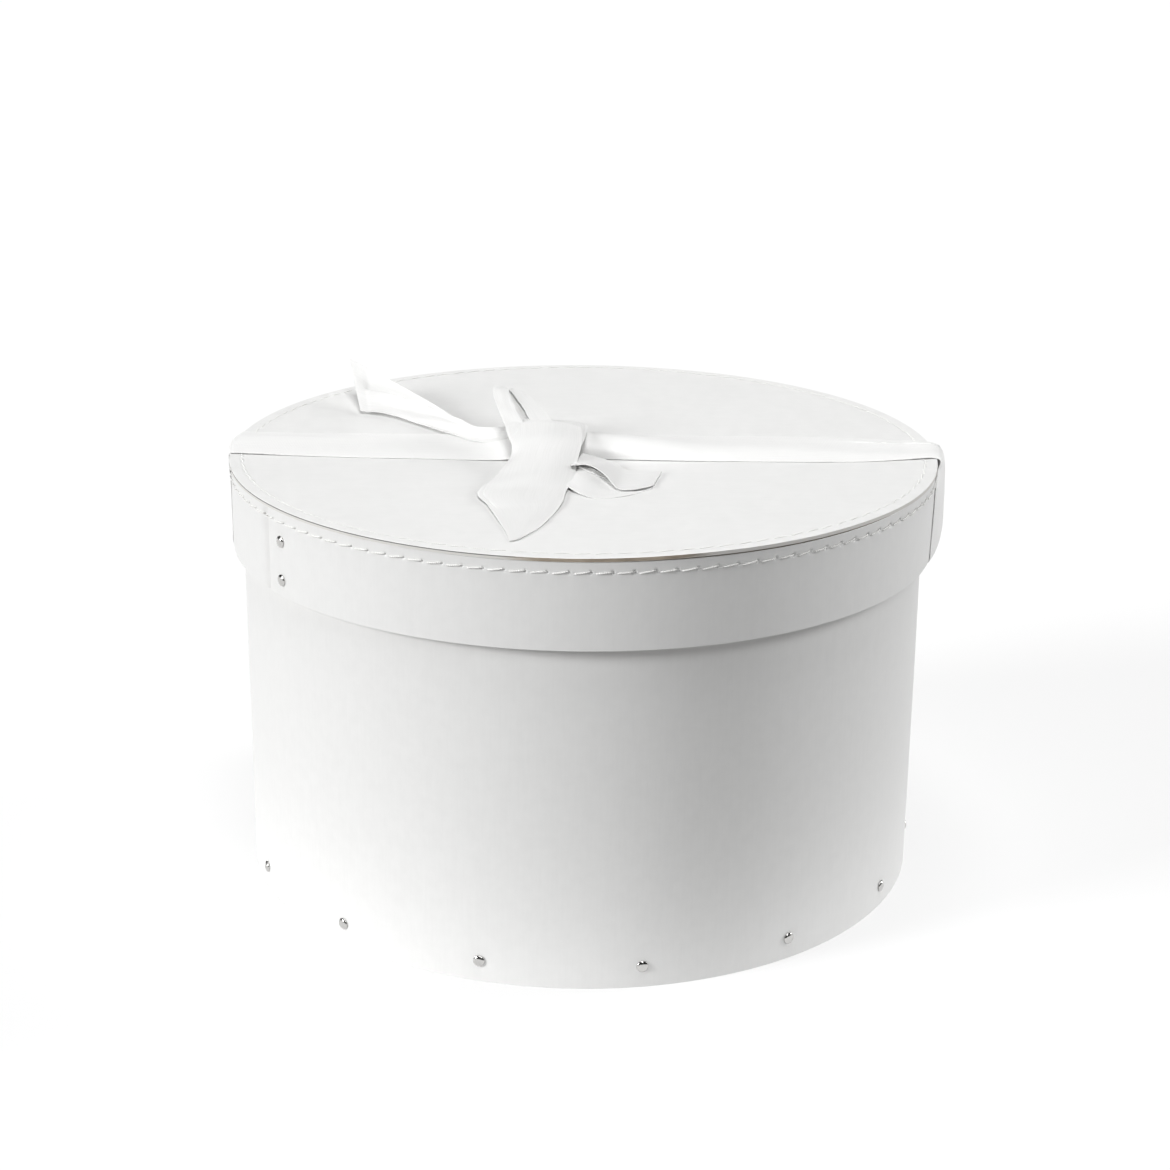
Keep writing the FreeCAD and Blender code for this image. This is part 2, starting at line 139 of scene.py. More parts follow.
@dataclass(frozen=True)
class CoatedBoard:
    """Solid board faced with white clay-coated paper, calendered to a matt satin.

    The coating gives a soft, broad highlight. The paper's fibres run along one direction and
    show as faint long streaks, and its formation as a cloudy mottle a few millimetres across.
    """

    name: str = "clay_coated_board"
    light: str = "#e9e9e8"
    dark: str = "#e6e6e5"
    mottle_mm: float = 7.0
    fibre_mm: tuple[float, float, float] = (1.6, 1.6, 22.0)
    roughness: float = 0.46
    mottle_depth_mm: float = 0.02
    fibre_depth_mm: float = 0.012

    def material(self) -> bpy.types.Material:
        """Builds the finish: mottle and fibre from noise in object coordinates.

        Returns:
            The new material.
        """
        material, tree, shader = shaded(self.name)
        where = add_node(tree, "ShaderNodeTexCoord").outputs["Object"]
        mottle = add_node(tree, "ShaderNodeTexNoise", Vector=where,
                          Scale=1 / (self.mottle_mm * MM), Detail=4.0, Roughness=0.55)
        stretch = tuple(1 / (size * MM) for size in self.fibre_mm)
        along = add_node(tree, "ShaderNodeMapping", Vector=where, Scale=stretch)
        fibre = add_node(tree, "ShaderNodeTexNoise", Vector=along.outputs["Vector"],
                         Scale=1.0, Detail=3.0, Roughness=0.6)
        both = add_node(tree, "ShaderNodeMix", {"data_type": "FLOAT"}, Factor=0.4,
                        i2=mottle.outputs["Fac"], i3=fibre.outputs["Fac"])
        share = add_node(tree, "ShaderNodeMapRange", Value=both.outputs["Result"],
                         From_Min=0.36, From_Max=0.62)
        colour = add_node(tree, "ShaderNodeMix", {"data_type": "RGBA"},
                          Factor=share.outputs["Result"], i6=linear(self.dark),
                          i7=linear(self.light))
        tree.links.new(colour.outputs[2], shader.inputs["Base Color"])
        rough = add_node(tree, "ShaderNodeMapRange", Value=mottle.outputs["Fac"],
                         From_Min=0.3, From_Max=0.7, To_Min=self.roughness - 0.05,
                         To_Max=self.roughness + 0.06)
        tree.links.new(rough.outputs["Result"], shader.inputs["Roughness"])
        low = add_node(tree, "ShaderNodeBump", Strength=0.35, Distance=self.mottle_depth_mm * MM,
                       Height=mottle.outputs["Fac"])
        fine = add_node(tree, "ShaderNodeBump", Strength=0.4, Distance=self.fibre_depth_mm * MM,
                        Height=fibre.outputs["Fac"], Normal=low.outputs["Normal"])
        tree.links.new(fine.outputs["Normal"], shader.inputs["Normal"])
        shader.inputs["IOR"].default_value = 1.5
        return material


@dataclass(frozen=True)
class CutBoard:
    """Die-cut edge of grey board: recycled pulp in pressed layers, rough and warm grey-brown.

    The layers, about 0.3 mm each, lie flat in the disc and upright in the rolled strips, so
    the streaks follow a stretch of the noise that differs between the two.
    """

    name: str
    grain_mm: tuple[float, float, float]
    dark: str = "#8a7d6e"
    light: str = "#c0b3a2"
    # Painted light and shade on the disc's cut: a light grey where the lamps wash it out, and a
    # dark grey shade line along its top.
    painted_lit_grey: str = "#dcdad6"
    line: str = "#7d7d7b"
    raw_mm: tuple[float, float] | None = None
    raw_fade_mm: float = 24.0
    painted_shade_line_above_mm: float = 239.7
    roughness: float = 0.93

    def material(self) -> bpy.types.Material:
        """Builds the finish: long streaks and specks from two noises.

        Returns:
            The new material.
        """
        material, tree, shader = shaded(self.name)
        where = add_node(tree, "ShaderNodeTexCoord").outputs["Object"]
        stretch = tuple(1 / (size * MM) for size in self.grain_mm)
        along = add_node(tree, "ShaderNodeMapping", Vector=where, Scale=stretch)
        layers = add_node(tree, "ShaderNodeTexNoise", Vector=along.outputs["Vector"],
                          Scale=1.0, Detail=5.0, Roughness=0.65)
        specks = add_node(tree, "ShaderNodeTexNoise", Vector=where, Scale=1 / (14 * MM),
                          Detail=2.0, Roughness=0.5)
        both = add_node(tree, "ShaderNodeMix", {"data_type": "FLOAT"}, Factor=0.45,
                        i2=layers.outputs["Fac"], i3=specks.outputs["Fac"])
        share = add_node(tree, "ShaderNodeMapRange", Value=both.outputs["Result"],
                         From_Min=0.32, From_Max=0.68)
        colour = add_node(tree, "ShaderNodeMix", {"data_type": "RGBA"},
                          Factor=share.outputs["Result"], i6=linear(self.dark),
                          i7=linear(self.light))
        if self.raw_mm:
            # The cut shows its raw colour at the front only. Elsewhere it is painted light grey
            # as painted light, where the lamps wash it out, and on the left a dark grey line
            # along its top is painted shade.
            low, high = (edge * MM for edge in self.raw_mm)
            side = add_node(tree, "ShaderNodeSeparateXYZ", Vector=where)
            left = add_node(tree, "ShaderNodeMapRange", {"interpolation_type": "SMOOTHSTEP"},
                            Value=side.outputs["X"], From_Min=low - self.raw_fade_mm * MM,
                            From_Max=low)
            right = add_node(tree, "ShaderNodeMapRange", {"interpolation_type": "SMOOTHSTEP"},
                             Value=side.outputs["X"], From_Min=high,
                             From_Max=high + self.raw_fade_mm * MM, To_Min=1.0, To_Max=0.0)
            raw = add_node(tree, "ShaderNodeMath", {"operation": "MULTIPLY"},
                           i0=left.outputs["Result"], i1=right.outputs["Result"])
            shade_line_band = add_node(tree, "ShaderNodeMapRange", Value=side.outputs["Z"],
                             From_Min=(self.painted_shade_line_above_mm - 0.1) * MM,
                             From_Max=(self.painted_shade_line_above_mm + 0.1) * MM)
            grey = add_node(tree, "ShaderNodeMath", {"operation": "MULTIPLY"},
                            i0=shade_line_band.outputs["Result"], i1=right.outputs["Result"])
            painted_light_and_shade = add_node(tree, "ShaderNodeMix", {"data_type": "RGBA"},
                               Factor=grey.outputs["Value"], i6=linear(self.painted_lit_grey),
                               i7=linear(self.line))
            colour = add_node(tree, "ShaderNodeMix", {"data_type": "RGBA"},
                              Factor=raw.outputs["Value"], i6=painted_light_and_shade.outputs[2],
                              i7=colour.outputs[2])
        tree.links.new(colour.outputs[2], shader.inputs["Base Color"])
        bump = add_node(tree, "ShaderNodeBump", Strength=0.8, Distance=0.15 * MM,
                        Height=layers.outputs["Fac"])
        tree.links.new(bump.outputs["Normal"], shader.inputs["Normal"])
        shader.inputs["Roughness"].default_value = self.roughness
        return material


@dataclass(frozen=True)
class NickelPlate:
    """Bright nickel plate over a stamped steel rivet: a neutral mirror, softened by handling."""

    name: str = "nickel_plated_steel"
    colour: str = "#c9c8c6"
    roughness: float = 0.16

    def material(self) -> bpy.types.Material:
        """Builds the finish: a metal with a faint uneven gloss and fine dents.

        Returns:
            The new material.
        """
        material, tree, shader = shaded(self.name)
        where = add_node(tree, "ShaderNodeTexCoord").outputs["Object"]
        smear = add_node(tree, "ShaderNodeTexNoise", Vector=where, Scale=1 / (1.6 * MM),
                         Detail=3.0)
        rough = add_node(tree, "ShaderNodeMapRange", Value=smear.outputs["Fac"],
                         To_Min=self.roughness - 0.08, To_Max=self.roughness + 0.12)
        tree.links.new(rough.outputs["Result"], shader.inputs["Roughness"])
        bump = add_node(tree, "ShaderNodeBump", Strength=0.3, Distance=0.03 * MM,
                        Height=smear.outputs["Fac"])
        tree.links.new(bump.outputs["Normal"], shader.inputs["Normal"])
        shader.inputs["Base Color"].default_value = linear(self.colour)
        shader.inputs["Metallic"].default_value = 1.0
        return material


@dataclass(frozen=True)
class SpunThread:
    """White spun polyester thread of three plies: matt, slightly hairy, with a clear twist.

    Its own map runs once round in u and in metres along v, so the twist is a slanted wave.
    """

    name: str = "spun_polyester_thread"
    colour: str = "#f4f4f2"
    shade: str = "#dededb"
    ply_mm: float = 1.1

    def material(self) -> bpy.types.Material:
        """Builds the finish: a slanted wave for the plies, in height and as painted groove shade.

        Returns:
            The new material.
        """
        material, tree, shader = shaded(self.name)
        where = add_node(tree, "ShaderNodeUVMap", {"uv_map": "UVMap"}).outputs["UV"]
        apart = add_node(tree, "ShaderNodeSeparateXYZ", Vector=where)
        along = add_node(tree, "ShaderNodeMath", {"operation": "MULTIPLY"},
                         i0=apart.outputs["Y"], i1=TURN / (self.ply_mm * MM))
        around = add_node(tree, "ShaderNodeMath", {"operation": "MULTIPLY"},
                          i0=apart.outputs["X"], i1=TURN)
        phase = add_node(tree, "ShaderNodeMath", {"operation": "ADD"},
                         i0=along.outputs["Value"], i1=around.outputs["Value"])
        wave = add_node(tree, "ShaderNodeMath", {"operation": "SINE"}, i0=phase.outputs["Value"])
        height = add_node(tree, "ShaderNodeMapRange", Value=wave.outputs["Value"],
                          From_Min=-1.0, From_Max=1.0)
        # The low half of the wave takes the darker colour: painted shade in the grooves between
        # the plies.
        colour = add_node(tree, "ShaderNodeMix", {"data_type": "RGBA"},
                          Factor=height.outputs["Result"], i6=linear(self.shade),
                          i7=linear(self.colour))
        tree.links.new(colour.outputs[2], shader.inputs["Base Color"])
        bump = add_node(tree, "ShaderNodeBump", Strength=0.9, Distance=0.14 * MM,
                        Height=height.outputs["Result"])
        tree.links.new(bump.outputs["Normal"], shader.inputs["Normal"])
        shader.inputs["Roughness"].default_value = 0.8
        shader.inputs["Sheen Weight"].default_value = 0.3
        shader.inputs["Sheen Roughness"].default_value = 0.5
        return material


@dataclass(frozen=True)
class SatinRibbon:
    """White polyester satin ribbon: a smooth warp face with fine cross ribs and a sheen.

    Its own map is in metres, across in u and along in v. The weft is 0.25 mm apart on the
    real ribbon and is drawn at 0.9 mm, so that it shows; the warp's streaks run along it.
    """

    name: str = "white_satin_ribbon"
    colour: str = "#f2f2f1"
    shade: str = "#eeeeed"
    weft_mm: float = 0.9
    warp_mm: float = 0.5
    width: float = 50 * MM
    selvedge: float = 1.4 * MM

    def material(self) -> bpy.types.Material:
        """Builds the finish: ribs along v, streaks along u, and a plain selvedge.

        Returns:
            The new material.
        """
        material, tree, shader = shaded(self.name)
        where = add_node(tree, "ShaderNodeUVMap", {"uv_map": "UVMap"}).outputs["UV"]
        apart = add_node(tree, "ShaderNodeSeparateXYZ", Vector=where)
        angle = add_node(tree, "ShaderNodeMath", {"operation": "MULTIPLY"},
                         i0=apart.outputs["Y"], i1=TURN / (self.weft_mm * MM))
        weft = add_node(tree, "ShaderNodeMath", {"operation": "SINE"}, i0=angle.outputs["Value"])
        stretch = add_node(tree, "ShaderNodeMapping", Vector=where,
                           Scale=(1 / (self.warp_mm * MM), 1 / (26 * MM), 1.0))
        warp = add_node(tree, "ShaderNodeTexNoise", Vector=stretch.outputs["Vector"],
                        Scale=1.0, Detail=2.0, Roughness=0.5)
        off_centre = add_node(tree, "ShaderNodeMath", {"operation": "ABSOLUTE"},
                              i0=apart.outputs["X"])
        edge = add_node(tree, "ShaderNodeMapRange", Value=off_centre.outputs["Value"],
                        From_Min=self.width / 2 - self.selvedge,
                        From_Max=self.width / 2 - self.selvedge * 0.7)
        share = add_node(tree, "ShaderNodeMapRange", Value=warp.outputs["Fac"],
                         From_Min=0.35, From_Max=0.6)
        streaks = add_node(tree, "ShaderNodeMix", {"data_type": "RGBA"},
                           Factor=share.outputs["Result"], i6=linear(self.shade),
                           i7=linear(self.colour))
        tree.links.new(streaks.outputs[2], shader.inputs["Base Color"])
        rough = add_node(tree, "ShaderNodeMapRange", Value=edge.outputs["Result"],
                         To_Min=0.42, To_Max=0.62)
        tree.links.new(rough.outputs["Result"], shader.inputs["Roughness"])
        fine = add_node(tree, "ShaderNodeBump", Strength=0.25, Distance=0.05 * MM,
                        Height=weft.outputs["Value"])
        cords = add_node(tree, "ShaderNodeBump", Strength=0.4, Distance=0.12 * MM,
                         Height=edge.outputs["Result"], Normal=fine.outputs["Normal"])
        long = add_node(tree, "ShaderNodeBump", Strength=0.3, Distance=0.05 * MM,
                        Height=warp.outputs["Fac"], Normal=cords.outputs["Normal"])
        tree.links.new(long.outputs["Normal"], shader.inputs["Normal"])
        shader.inputs["Sheen Weight"].default_value = 0.15
        shader.inputs["Sheen Roughness"].default_value = 0.35
        shader.inputs["IOR"].default_value = 1.52
        return material


# ------------------------------------------------------------------ surfaces


def smooth_line(points: np.ndarray, count: int) -> np.ndarray:
    """Carries a smooth curve through points.

    It is a cubic Hermite curve. Each point's tangent is the slope from the point before it
    to the point after it, by chord length, and the curve is sampled at equal parameters.

    Args:
        points: the points, one per row.
        count: how many samples to take.

    Returns:
        The samples, one per row.
    """
    chord = np.linalg.norm(np.diff(points, axis=0), axis=1)
    knots = np.concatenate(([0.0], np.cumsum(np.maximum(chord, 1e-9))))
    before = np.concatenate((points[:1], points[:-1]))
    after = np.concatenate((points[1:], points[-1:]))
    span = np.concatenate((knots[1:], knots[-1:])) - np.concatenate((knots[:1], knots[:-1]))
    tangent = (after - before) / span[:, None]
    t = np.linspace(0, knots[-1], count)
    i = np.clip(np.searchsorted(knots, t, side="right") - 1, 0, len(points) - 2)
    width = (knots[i + 1] - knots[i])[:, None]
    s = (t - knots[i])[:, None] / width
    return ((2 * s**3 - 3 * s**2 + 1) * points[i] + (s**3 - 2 * s**2 + s) * width * tangent[i]
            + (3 * s**2 - 2 * s**3) * points[i + 1] + (s**3 - s**2) * width * tangent[i + 1])


def ease(x: np.ndarray | float, low: float, high: float) -> np.ndarray | float:
    """Rises smoothly from 0 at low to 1 at high, as 3t squared less 2t cubed."""
    t = np.clip((np.asarray(x) - low) / (high - low), 0, 1)
    return t * t * (3 - 2 * t)


def signed_degrees(azimuth: np.ndarray) -> np.ndarray:
    """Azimuths in degrees, from -180 up to 180."""
    return (np.degrees(azimuth) + 180) % 360 - 180


def parabola(near: np.ndarray, middle: np.ndarray, far: np.ndarray, s: np.ndarray) -> np.ndarray:
    """The parabola that passes near at s = 0, middle at one half and far at 1."""
    return near * (1 - s) * (1 - 2 * s) + middle * 4 * s * (1 - s) + far * s * (2 * s - 1)


def around(azimuth: np.ndarray, radius: np.ndarray, z: np.ndarray) -> np.ndarray:
    """Points at azimuths from the front, radii and heights: x = r sin a, y = -r cos a."""
    azimuth, radius, z = np.broadcast_arrays(azimuth, radius, z)
    return np.stack((radius * np.sin(azimuth), -radius * np.cos(azimuth), z), axis=-1)


@dataclass
class Shell:
    """Gathers grids of points into one mesh, with a UV map and a material index each."""

    name: str
    points: list[np.ndarray] = field(default_factory=list)
    faces: list[np.ndarray] = field(default_factory=list)
    maps: list[np.ndarray] = field(default_factory=list)
    kinds: list[np.ndarray] = field(default_factory=list)
    count: int = 0

    def add(self, grid: np.ndarray, u: np.ndarray, v: np.ndarray, wrap: bool = False,
            kind: Face = Face.COATED) -> None:
        """Adds a grid of quads.

        Args:
            grid: points as rows by columns by 3; u runs along the columns, v along the rows.
            u: the map's u at each column, with one more at the end if the columns wrap.
            v: the map's v at each row.
            wrap: whether the last column joins the first.
            kind: the material index of its faces.
        """
        rows, columns = grid.shape[:2]
        i, j = np.meshgrid(np.arange(rows - 1), np.arange(columns if wrap else columns - 1),
                           indexing="ij")
        after = (j + 1) % columns
        quads = np.stack((i * columns + j, i * columns + after, (i + 1) * columns + after,
                          (i + 1) * columns + j), axis=-1).reshape(-1, 4)
        self.points.append(grid.reshape(-1, 3))
        self.faces.append(quads + self.count)
        self.maps.append(np.stack((np.stack((u[j], u[j + 1], u[j + 1], u[j]), -1),
                                   np.stack((v[i], v[i], v[i + 1], v[i + 1]), -1)),
                                  axis=-1).reshape(-1, 2))
        self.kinds.append(np.full(len(quads), kind.value))
        self.count += rows * columns

    def slab(self, top: np.ndarray, bottom: np.ndarray, u: np.ndarray, v: np.ndarray,
             wrap: bool = False, inner_edge: bool = True, edge: Face = Face.CUT) -> None:
        """Adds a closed board or cloth: two matching grids and the rims between them.

        Args:
            top: one face, as rows by columns by 3.
            bottom: the other face, point for point.
            u: the map's u at each column, with one more if the columns wrap.
            v: the map's v at each row.
            wrap: whether the columns go all the way round.
            inner_edge: whether the first row has a rim, which a full disc doesn't.
            edge: the material index of the rims.
        """
        self.add(top, u, v, wrap)
        self.add(bottom, u, v, wrap)
        rim = np.array([0.0, 0.001])
        for row in ([0] if inner_edge else []) + [-1]:
            self.add(np.stack((top[row], bottom[row])), u, rim, wrap, edge)
        if not wrap:
            for column in (0, -1):
                side = np.stack((top[:, column], bottom[:, column]))
                self.add(side, v, rim, False, edge)

    def build(self, materials: Sequence[bpy.types.Material], sharp: float = 32.0,
              merge: float = 2e-6) -> bpy.types.Object:
        """Makes the object: merges seams and poles, turns faces outwards, shades it smooth.

        Args:
            materials: one per material index.
            sharp: the angle in degrees above which an edge stays hard.
            merge: how near two points are to be made one.

        Returns:
            The linked object, at the origin.
        """
        mesh = bpy.data.meshes.new(self.name)
        points, faces = np.concatenate(self.points), np.concatenate(self.faces)
        mesh.vertices.add(len(points))
        mesh.vertices.foreach_set("co", points.astype(np.float32).ravel())
        mesh.loops.add(faces.size)
        mesh.loops.foreach_set("vertex_index", faces.astype(np.int32).ravel())
        mesh.polygons.add(len(faces))
        mesh.polygons.foreach_set("loop_start", np.arange(0, faces.size, 4, dtype=np.int32))
        mesh.polygons.foreach_set("material_index", np.concatenate(self.kinds).astype(np.int32))
        mesh.update(calc_edges=True)
        layer = mesh.uv_layers.new(name="UVMap")
        layer.data.foreach_set("uv", np.concatenate(self.maps).astype(np.float32).ravel())
        work = bmesh.new()
        work.from_mesh(mesh)
        bmesh.ops.remove_doubles(work, verts=work.verts, dist=merge)
        bmesh.ops.dissolve_degenerate(work, edges=work.edges, dist=merge / 10)
        bmesh.ops.recalc_face_normals(work, faces=work.faces)
        work.to_mesh(mesh)
        work.free()
        for material in materials:
            mesh.materials.append(material)
        mesh.polygons.foreach_set("use_smooth", np.ones(len(mesh.polygons), dtype=bool))
        mesh.set_sharp_from_angle(angle=math.radians(sharp))
        thing = bpy.data.objects.new(self.name, mesh)
        bpy.context.scene.collection.objects.link(thing)
        return thing


def settle(thing: bpy.types.Object, body: Body, slot: Slot, *nodes: str) -> bpy.types.Object:
    """Lets a piece ride on a body and stand for CAD nodes, and reports it.

    Args:
        thing: the piece.
        body: the body it rides on.
        slot: its material slot; not used.
        nodes: the CAD nodes it stands for.

    Returns:
        The same piece.
    """
    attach(thing, body.value)
    if nodes:
        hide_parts(*nodes)
    LOG.info("%s: %d faces, for %s", thing.name, len(thing.data.polygons), ", ".join(nodes))
    return thing


@dataclass(frozen=True)
class Finishes:
    """Every material of the object, made once."""

    board: bpy.types.Material
    lid_board: bpy.types.Material
    disc_cut: bpy.types.Material
    strip_cut: bpy.types.Material
    nickel: bpy.types.Material
    thread: bpy.types.Material
    ribbon: bpy.types.Material
    bow: bpy.types.Material

    @classmethod
    def make(cls) -> "Finishes":
        """Builds the finishes for this box."""
        return cls(
            board=CoatedBoard().material(),
            lid_board=CoatedBoard("clay_coated_board_lid", fibre_mm=(22.0, 1.6, 1.6)).material(),
            disc_cut=CutBoard("die_cut_board_disc", (9.0, 9.0, 0.5),
                              raw_mm=(-20.0, 45.0)).material(),
            strip_cut=CutBoard("guillotined_board_strip", (3.0, 3.0, 3.0)).material(),
            nickel=NickelPlate().material(),
            thread=SpunThread().material(),
            ribbon=SatinRibbon().material(),
            # The bow takes a darker copy of the same ribbon: painted shade, so that its tilted
            # pieces read no brighter than the straps.
            bow=SatinRibbon("white_satin_ribbon_bow_painted_shade", "#e8e8e7", "#e3e3e2").material(),
        )


# ------------------------------------------------------------------ board


@dataclass(frozen=True)
class Layout:
    """Sizes that several pieces share, in metres."""

    wall: float = 193.5 * MM
    wall_height: float = 238.3 * MM
    band: float = 199.4 * MM
    rim: float = 191.4 * MM
    board: float = 2.0 * MM
    top: float = 240.5 * MM
    disc: float = 200.0 * MM
    disc_board: float = 2.2 * MM
    stitches: int = 116
    stitch: float = 8.0 * MM
    seam: float = 232.7 * MM
    slope: float = math.radians(7.0)
    seam_inset: float = 7.0 * MM
    band_lap: float = math.radians(-52.6)
    wall_lap: float = math.radians(177.08)
    rivets: int = 14
    first_rivet: float = math.radians(9.94)

    def lift(self, azimuth: np.ndarray, radius: np.ndarray) -> np.ndarray:
        """How far the disc curls up from the band: an eased rise over the front right.

        Args:
            azimuth: the place round the disc.
            radius: the distance from its middle.

        Returns:
            The lift at each point.
        """
        degrees = signed_degrees(azimuth)
        share = ease(degrees, -4, 22) * (1 - ease(degrees, 44, 72))
        return 0.7 * MM * share * ease(radius, 0.80 * self.disc, self.disc)

    def needles(self) -> np.ndarray:
        """Azimuths of the stitches' middles, one per stitch."""
        return np.arange(self.stitches) * TURN / self.stitches

    def pull(self, azimuth: np.ndarray) -> np.ndarray:
        """How hard the seam was pulled: lightly on the left, fully over the front right."""
        degrees = signed_degrees(azimuth)
        return 0.3 + 0.7 * ease(degrees, -12, 24) * (1 - ease(degrees, 110, 150))

    def hole_depth(self, along: np.ndarray, across: np.ndarray, pitch: float,
                   groove: float, holes: tuple[float, float]) -> np.ndarray:
        """The dent of the seam in the board.

        It is a shallow groove under the thread and a bell-shaped pit at each stitch's ends.

        Args:
            along: distance along the seam.
            across: distance from the seam's middle line.
            pitch: distance between two stitches.
            groove: the groove's depth.
            holes: the depths of the needle holes at a stitch's left and right end.

        Returns:
            The depth at each point.
        """
        s = (along + pitch / 2) % pitch - pitch / 2
        line = across - s * math.tan(self.slope)
        depth = groove * np.exp(-((across / (1.6 * MM)) ** 2))
        places = ((-self.stitch / 2, 0.0), (self.stitch / 2 + 0.35 * MM, -0.3 * MM))
        for (end, drop), hole in zip(places, holes):
            away = (s - end) ** 2 + (line - drop) ** 2
            depth = depth + hole * np.exp(-away / (0.85 * MM) ** 2)
        return depth


SHARED = Layout()
# Distances from a stitch's middle at which the board's grid has a line, close at the holes.
SEAM_STEPS = np.array([-4.9, -4.4, -4.1, -3.8, -3.5, -2.9, -1.5, 0.0, 1.5, 2.9, 3.5, 3.8, 4.1,
                       4.4, 4.9]) * MM
SEAM_ROWS = np.array([-4.0, -2.6, -1.6, -1.1, -0.75, -0.4, 0.0, 0.4, 0.75, 1.1, 1.6, 2.6]) * MM


@dataclass
class RolledStrip:
    """A strip of board rolled into a ring, with one end tucked behind the other."""

    name: str
    body: Body
    radius: float
    low: float
    high: float
    lap: float
    dents: Sequence[tuple[float, float]] = ()
    seam: float | None = None
    lap_length: float = 25 * MM
    lap_step: float = 9 * MM
    lap_gap: float = 0.05 * MM
    edge: float = 0.3 * MM

    def angles(self) -> np.ndarray:
        """Angles along the strip from its outer end, close together at holes and the lap.

        Returns:
            The angles in radians, rising.
        """
        end = TURN + self.lap_length / self.radius
        if self.seam is None:
            return np.linspace(0, end, 620)
        stitch = SHARED.needles()[:, None] + SEAM_STEPS / self.radius
        start = self.lap - self.lap_length / self.radius / 2
        turns = np.concatenate([stitch.ravel() + k * TURN - start for k in (-1, 0, 1, 2)])
        inside = turns[(turns > 1e-4) & (turns < end - 1e-4)]
        return np.concatenate(([0.0], np.sort(inside), [end]))

    def levels(self) -> np.ndarray:
        """Heights of the grid's rows, close together at the edges, dents and seam.

        Returns:
            The heights in metres, rising.
        """
        rows = [np.linspace(self.low, self.high, 15)]
        rows.append([self.low + self.edge * 0.4, self.low + self.edge, self.high - self.edge,
                     self.high - self.edge * 0.4])
        rows += [level + np.linspace(-9, 9, 9) * MM for _, level in self.dents[:4]]
        if self.seam is not None:
            rows.append(self.seam + SEAM_ROWS)
        levels = np.unique(np.round(np.concatenate(rows), 6))
        return levels[(levels >= self.low) & (levels <= self.high)]

    def build(self, finishes: Finishes) -> bpy.types.Object:
        """Rolls the strip.

        Its radius is the outer radius less one board where the inner end has stepped in,
        plus a slow wave of the board, less the dents of rivets and stitches. Both faces
        draw together over the last 0.3 mm at the cut edges.

        Args:
            finishes: the box's finishes.

        Returns:
            The strip, not yet settled on its body.
        """
        t, z = np.meshgrid(self.angles(), self.levels())
        azimuth = self.lap - self.lap_length / self.radius / 2 + t
        step = ease(t, TURN - self.lap_step / self.radius, TURN)
        wave = 0.10 * MM * (np.sin(3 * azimuth + 1.3) + 0.6 * np.sin(7 * azimuth + 35 * z)
                            + 0.5 * np.sin(11 * azimuth - 22 * z + 0.6))
        calm = 1 - 0.8 * (ease(t, TURN - 0.3, TURN - 0.1) + 1 - ease(t, 0.05, 0.3))
        outer = self.radius - (SHARED.board + self.lap_gap) * step + wave * np.clip(calm, 0, 1)
        inner = outer - SHARED.board
        for place, level in self.dents:
            gap = (azimuth - place + math.pi) % TURN - math.pi
            near = (gap * self.radius) ** 2 + (z - level) ** 2
            dent = 0.28 * MM * np.exp(-near / (6.5 * MM) ** 2)
            outer, inner = outer - dent, inner - dent
        if self.seam is not None:
            pitch = TURN * self.radius / SHARED.stitches
            dip = SHARED.hole_depth(azimuth * self.radius, z - self.seam, pitch, 0.14 * MM,
                                    (0.3 * MM, 1.7 * MM))
            outer = outer - dip * SHARED.pull(azimuth)
        closing = np.minimum(z - self.low, self.high - z)
        soften = 0.22 * MM * (1 - ease(closing, 0, self.edge))
        shell = Shell(self.name)
        shell.slab(around(azimuth, outer - soften, z), around(azimuth, inner + soften, z),
                   t[0] * self.radius, z[:, 0])
        return shell.build((finishes.board, finishes.strip_cut))


@dataclass
class LidDisc:
    """The lid's board disc, stitched near its edge and curled up a little at the front."""

    name: str = "lid_disc"
    edge: float = 0.35 * MM

    def radii(self) -> np.ndarray:
        """Radii of the grid's rows, close together at the seam and the edge.

        Returns:
            The radii in metres, rising.
        """
        rim = SHARED.disc - np.array([1.6, 0.9, 0.35, 0.12, 0.0]) * MM
        middle = np.array([0.0, 0.03, 0.07, 0.11, 0.14, 0.16, 0.172, 0.181, 0.187])
        return np.concatenate((middle, SHARED.disc - SHARED.seam_inset + SEAM_ROWS[1:], rim))

    def build(self, finishes: Finishes) -> bpy.types.Object:
        """Cuts the disc: a polar grid whose height is the top level plus a slow unevenness
        and the curl at the front, less the seam's dents.

        Args:
            finishes: the box's finishes.

        Returns:
            The disc.
        """
        seam = SHARED.disc - SHARED.seam_inset
        steps = SHARED.needles()[:, None] + SEAM_STEPS / seam
        azimuth, radius = np.meshgrid(np.sort(steps.ravel()), self.radii())
        x, y = radius * np.sin(azimuth), -radius * np.cos(azimuth)
        uneven = 0.12 * MM * (np.sin(17 * x + 9 * y + 0.4) + 0.7 * np.sin(23 * y - 13 * x))
        uneven = uneven * ease(radius, 0.0, 0.05) * (1 - ease(radius, 0.15, 0.19))
        top = SHARED.top + uneven + SHARED.lift(azimuth, radius)
        bottom = top - SHARED.disc_board
        pitch = TURN * seam / SHARED.stitches
        top = top - SHARED.hole_depth(azimuth * seam, seam - radius, pitch, 0.05 * MM,
                                      (0.1 * MM, 0.1 * MM))
        soften = 0.2 * MM * (1 - ease(SHARED.disc - radius, 0, self.edge))
        shell = Shell(self.name)
        lines = np.concatenate((azimuth[0], [azimuth[0, 0] + TURN])) * SHARED.disc
        shell.slab(np.stack((x, y, top - soften), -1), np.stack((x, y, bottom + soften), -1),
                   lines, radius[:, 0], wrap=True, inner_edge=False)
        disc = shell.build((finishes.lid_board, finishes.disc_cut))
        return settle(disc, Body.LID, Slot.BOARD, "lid_top")


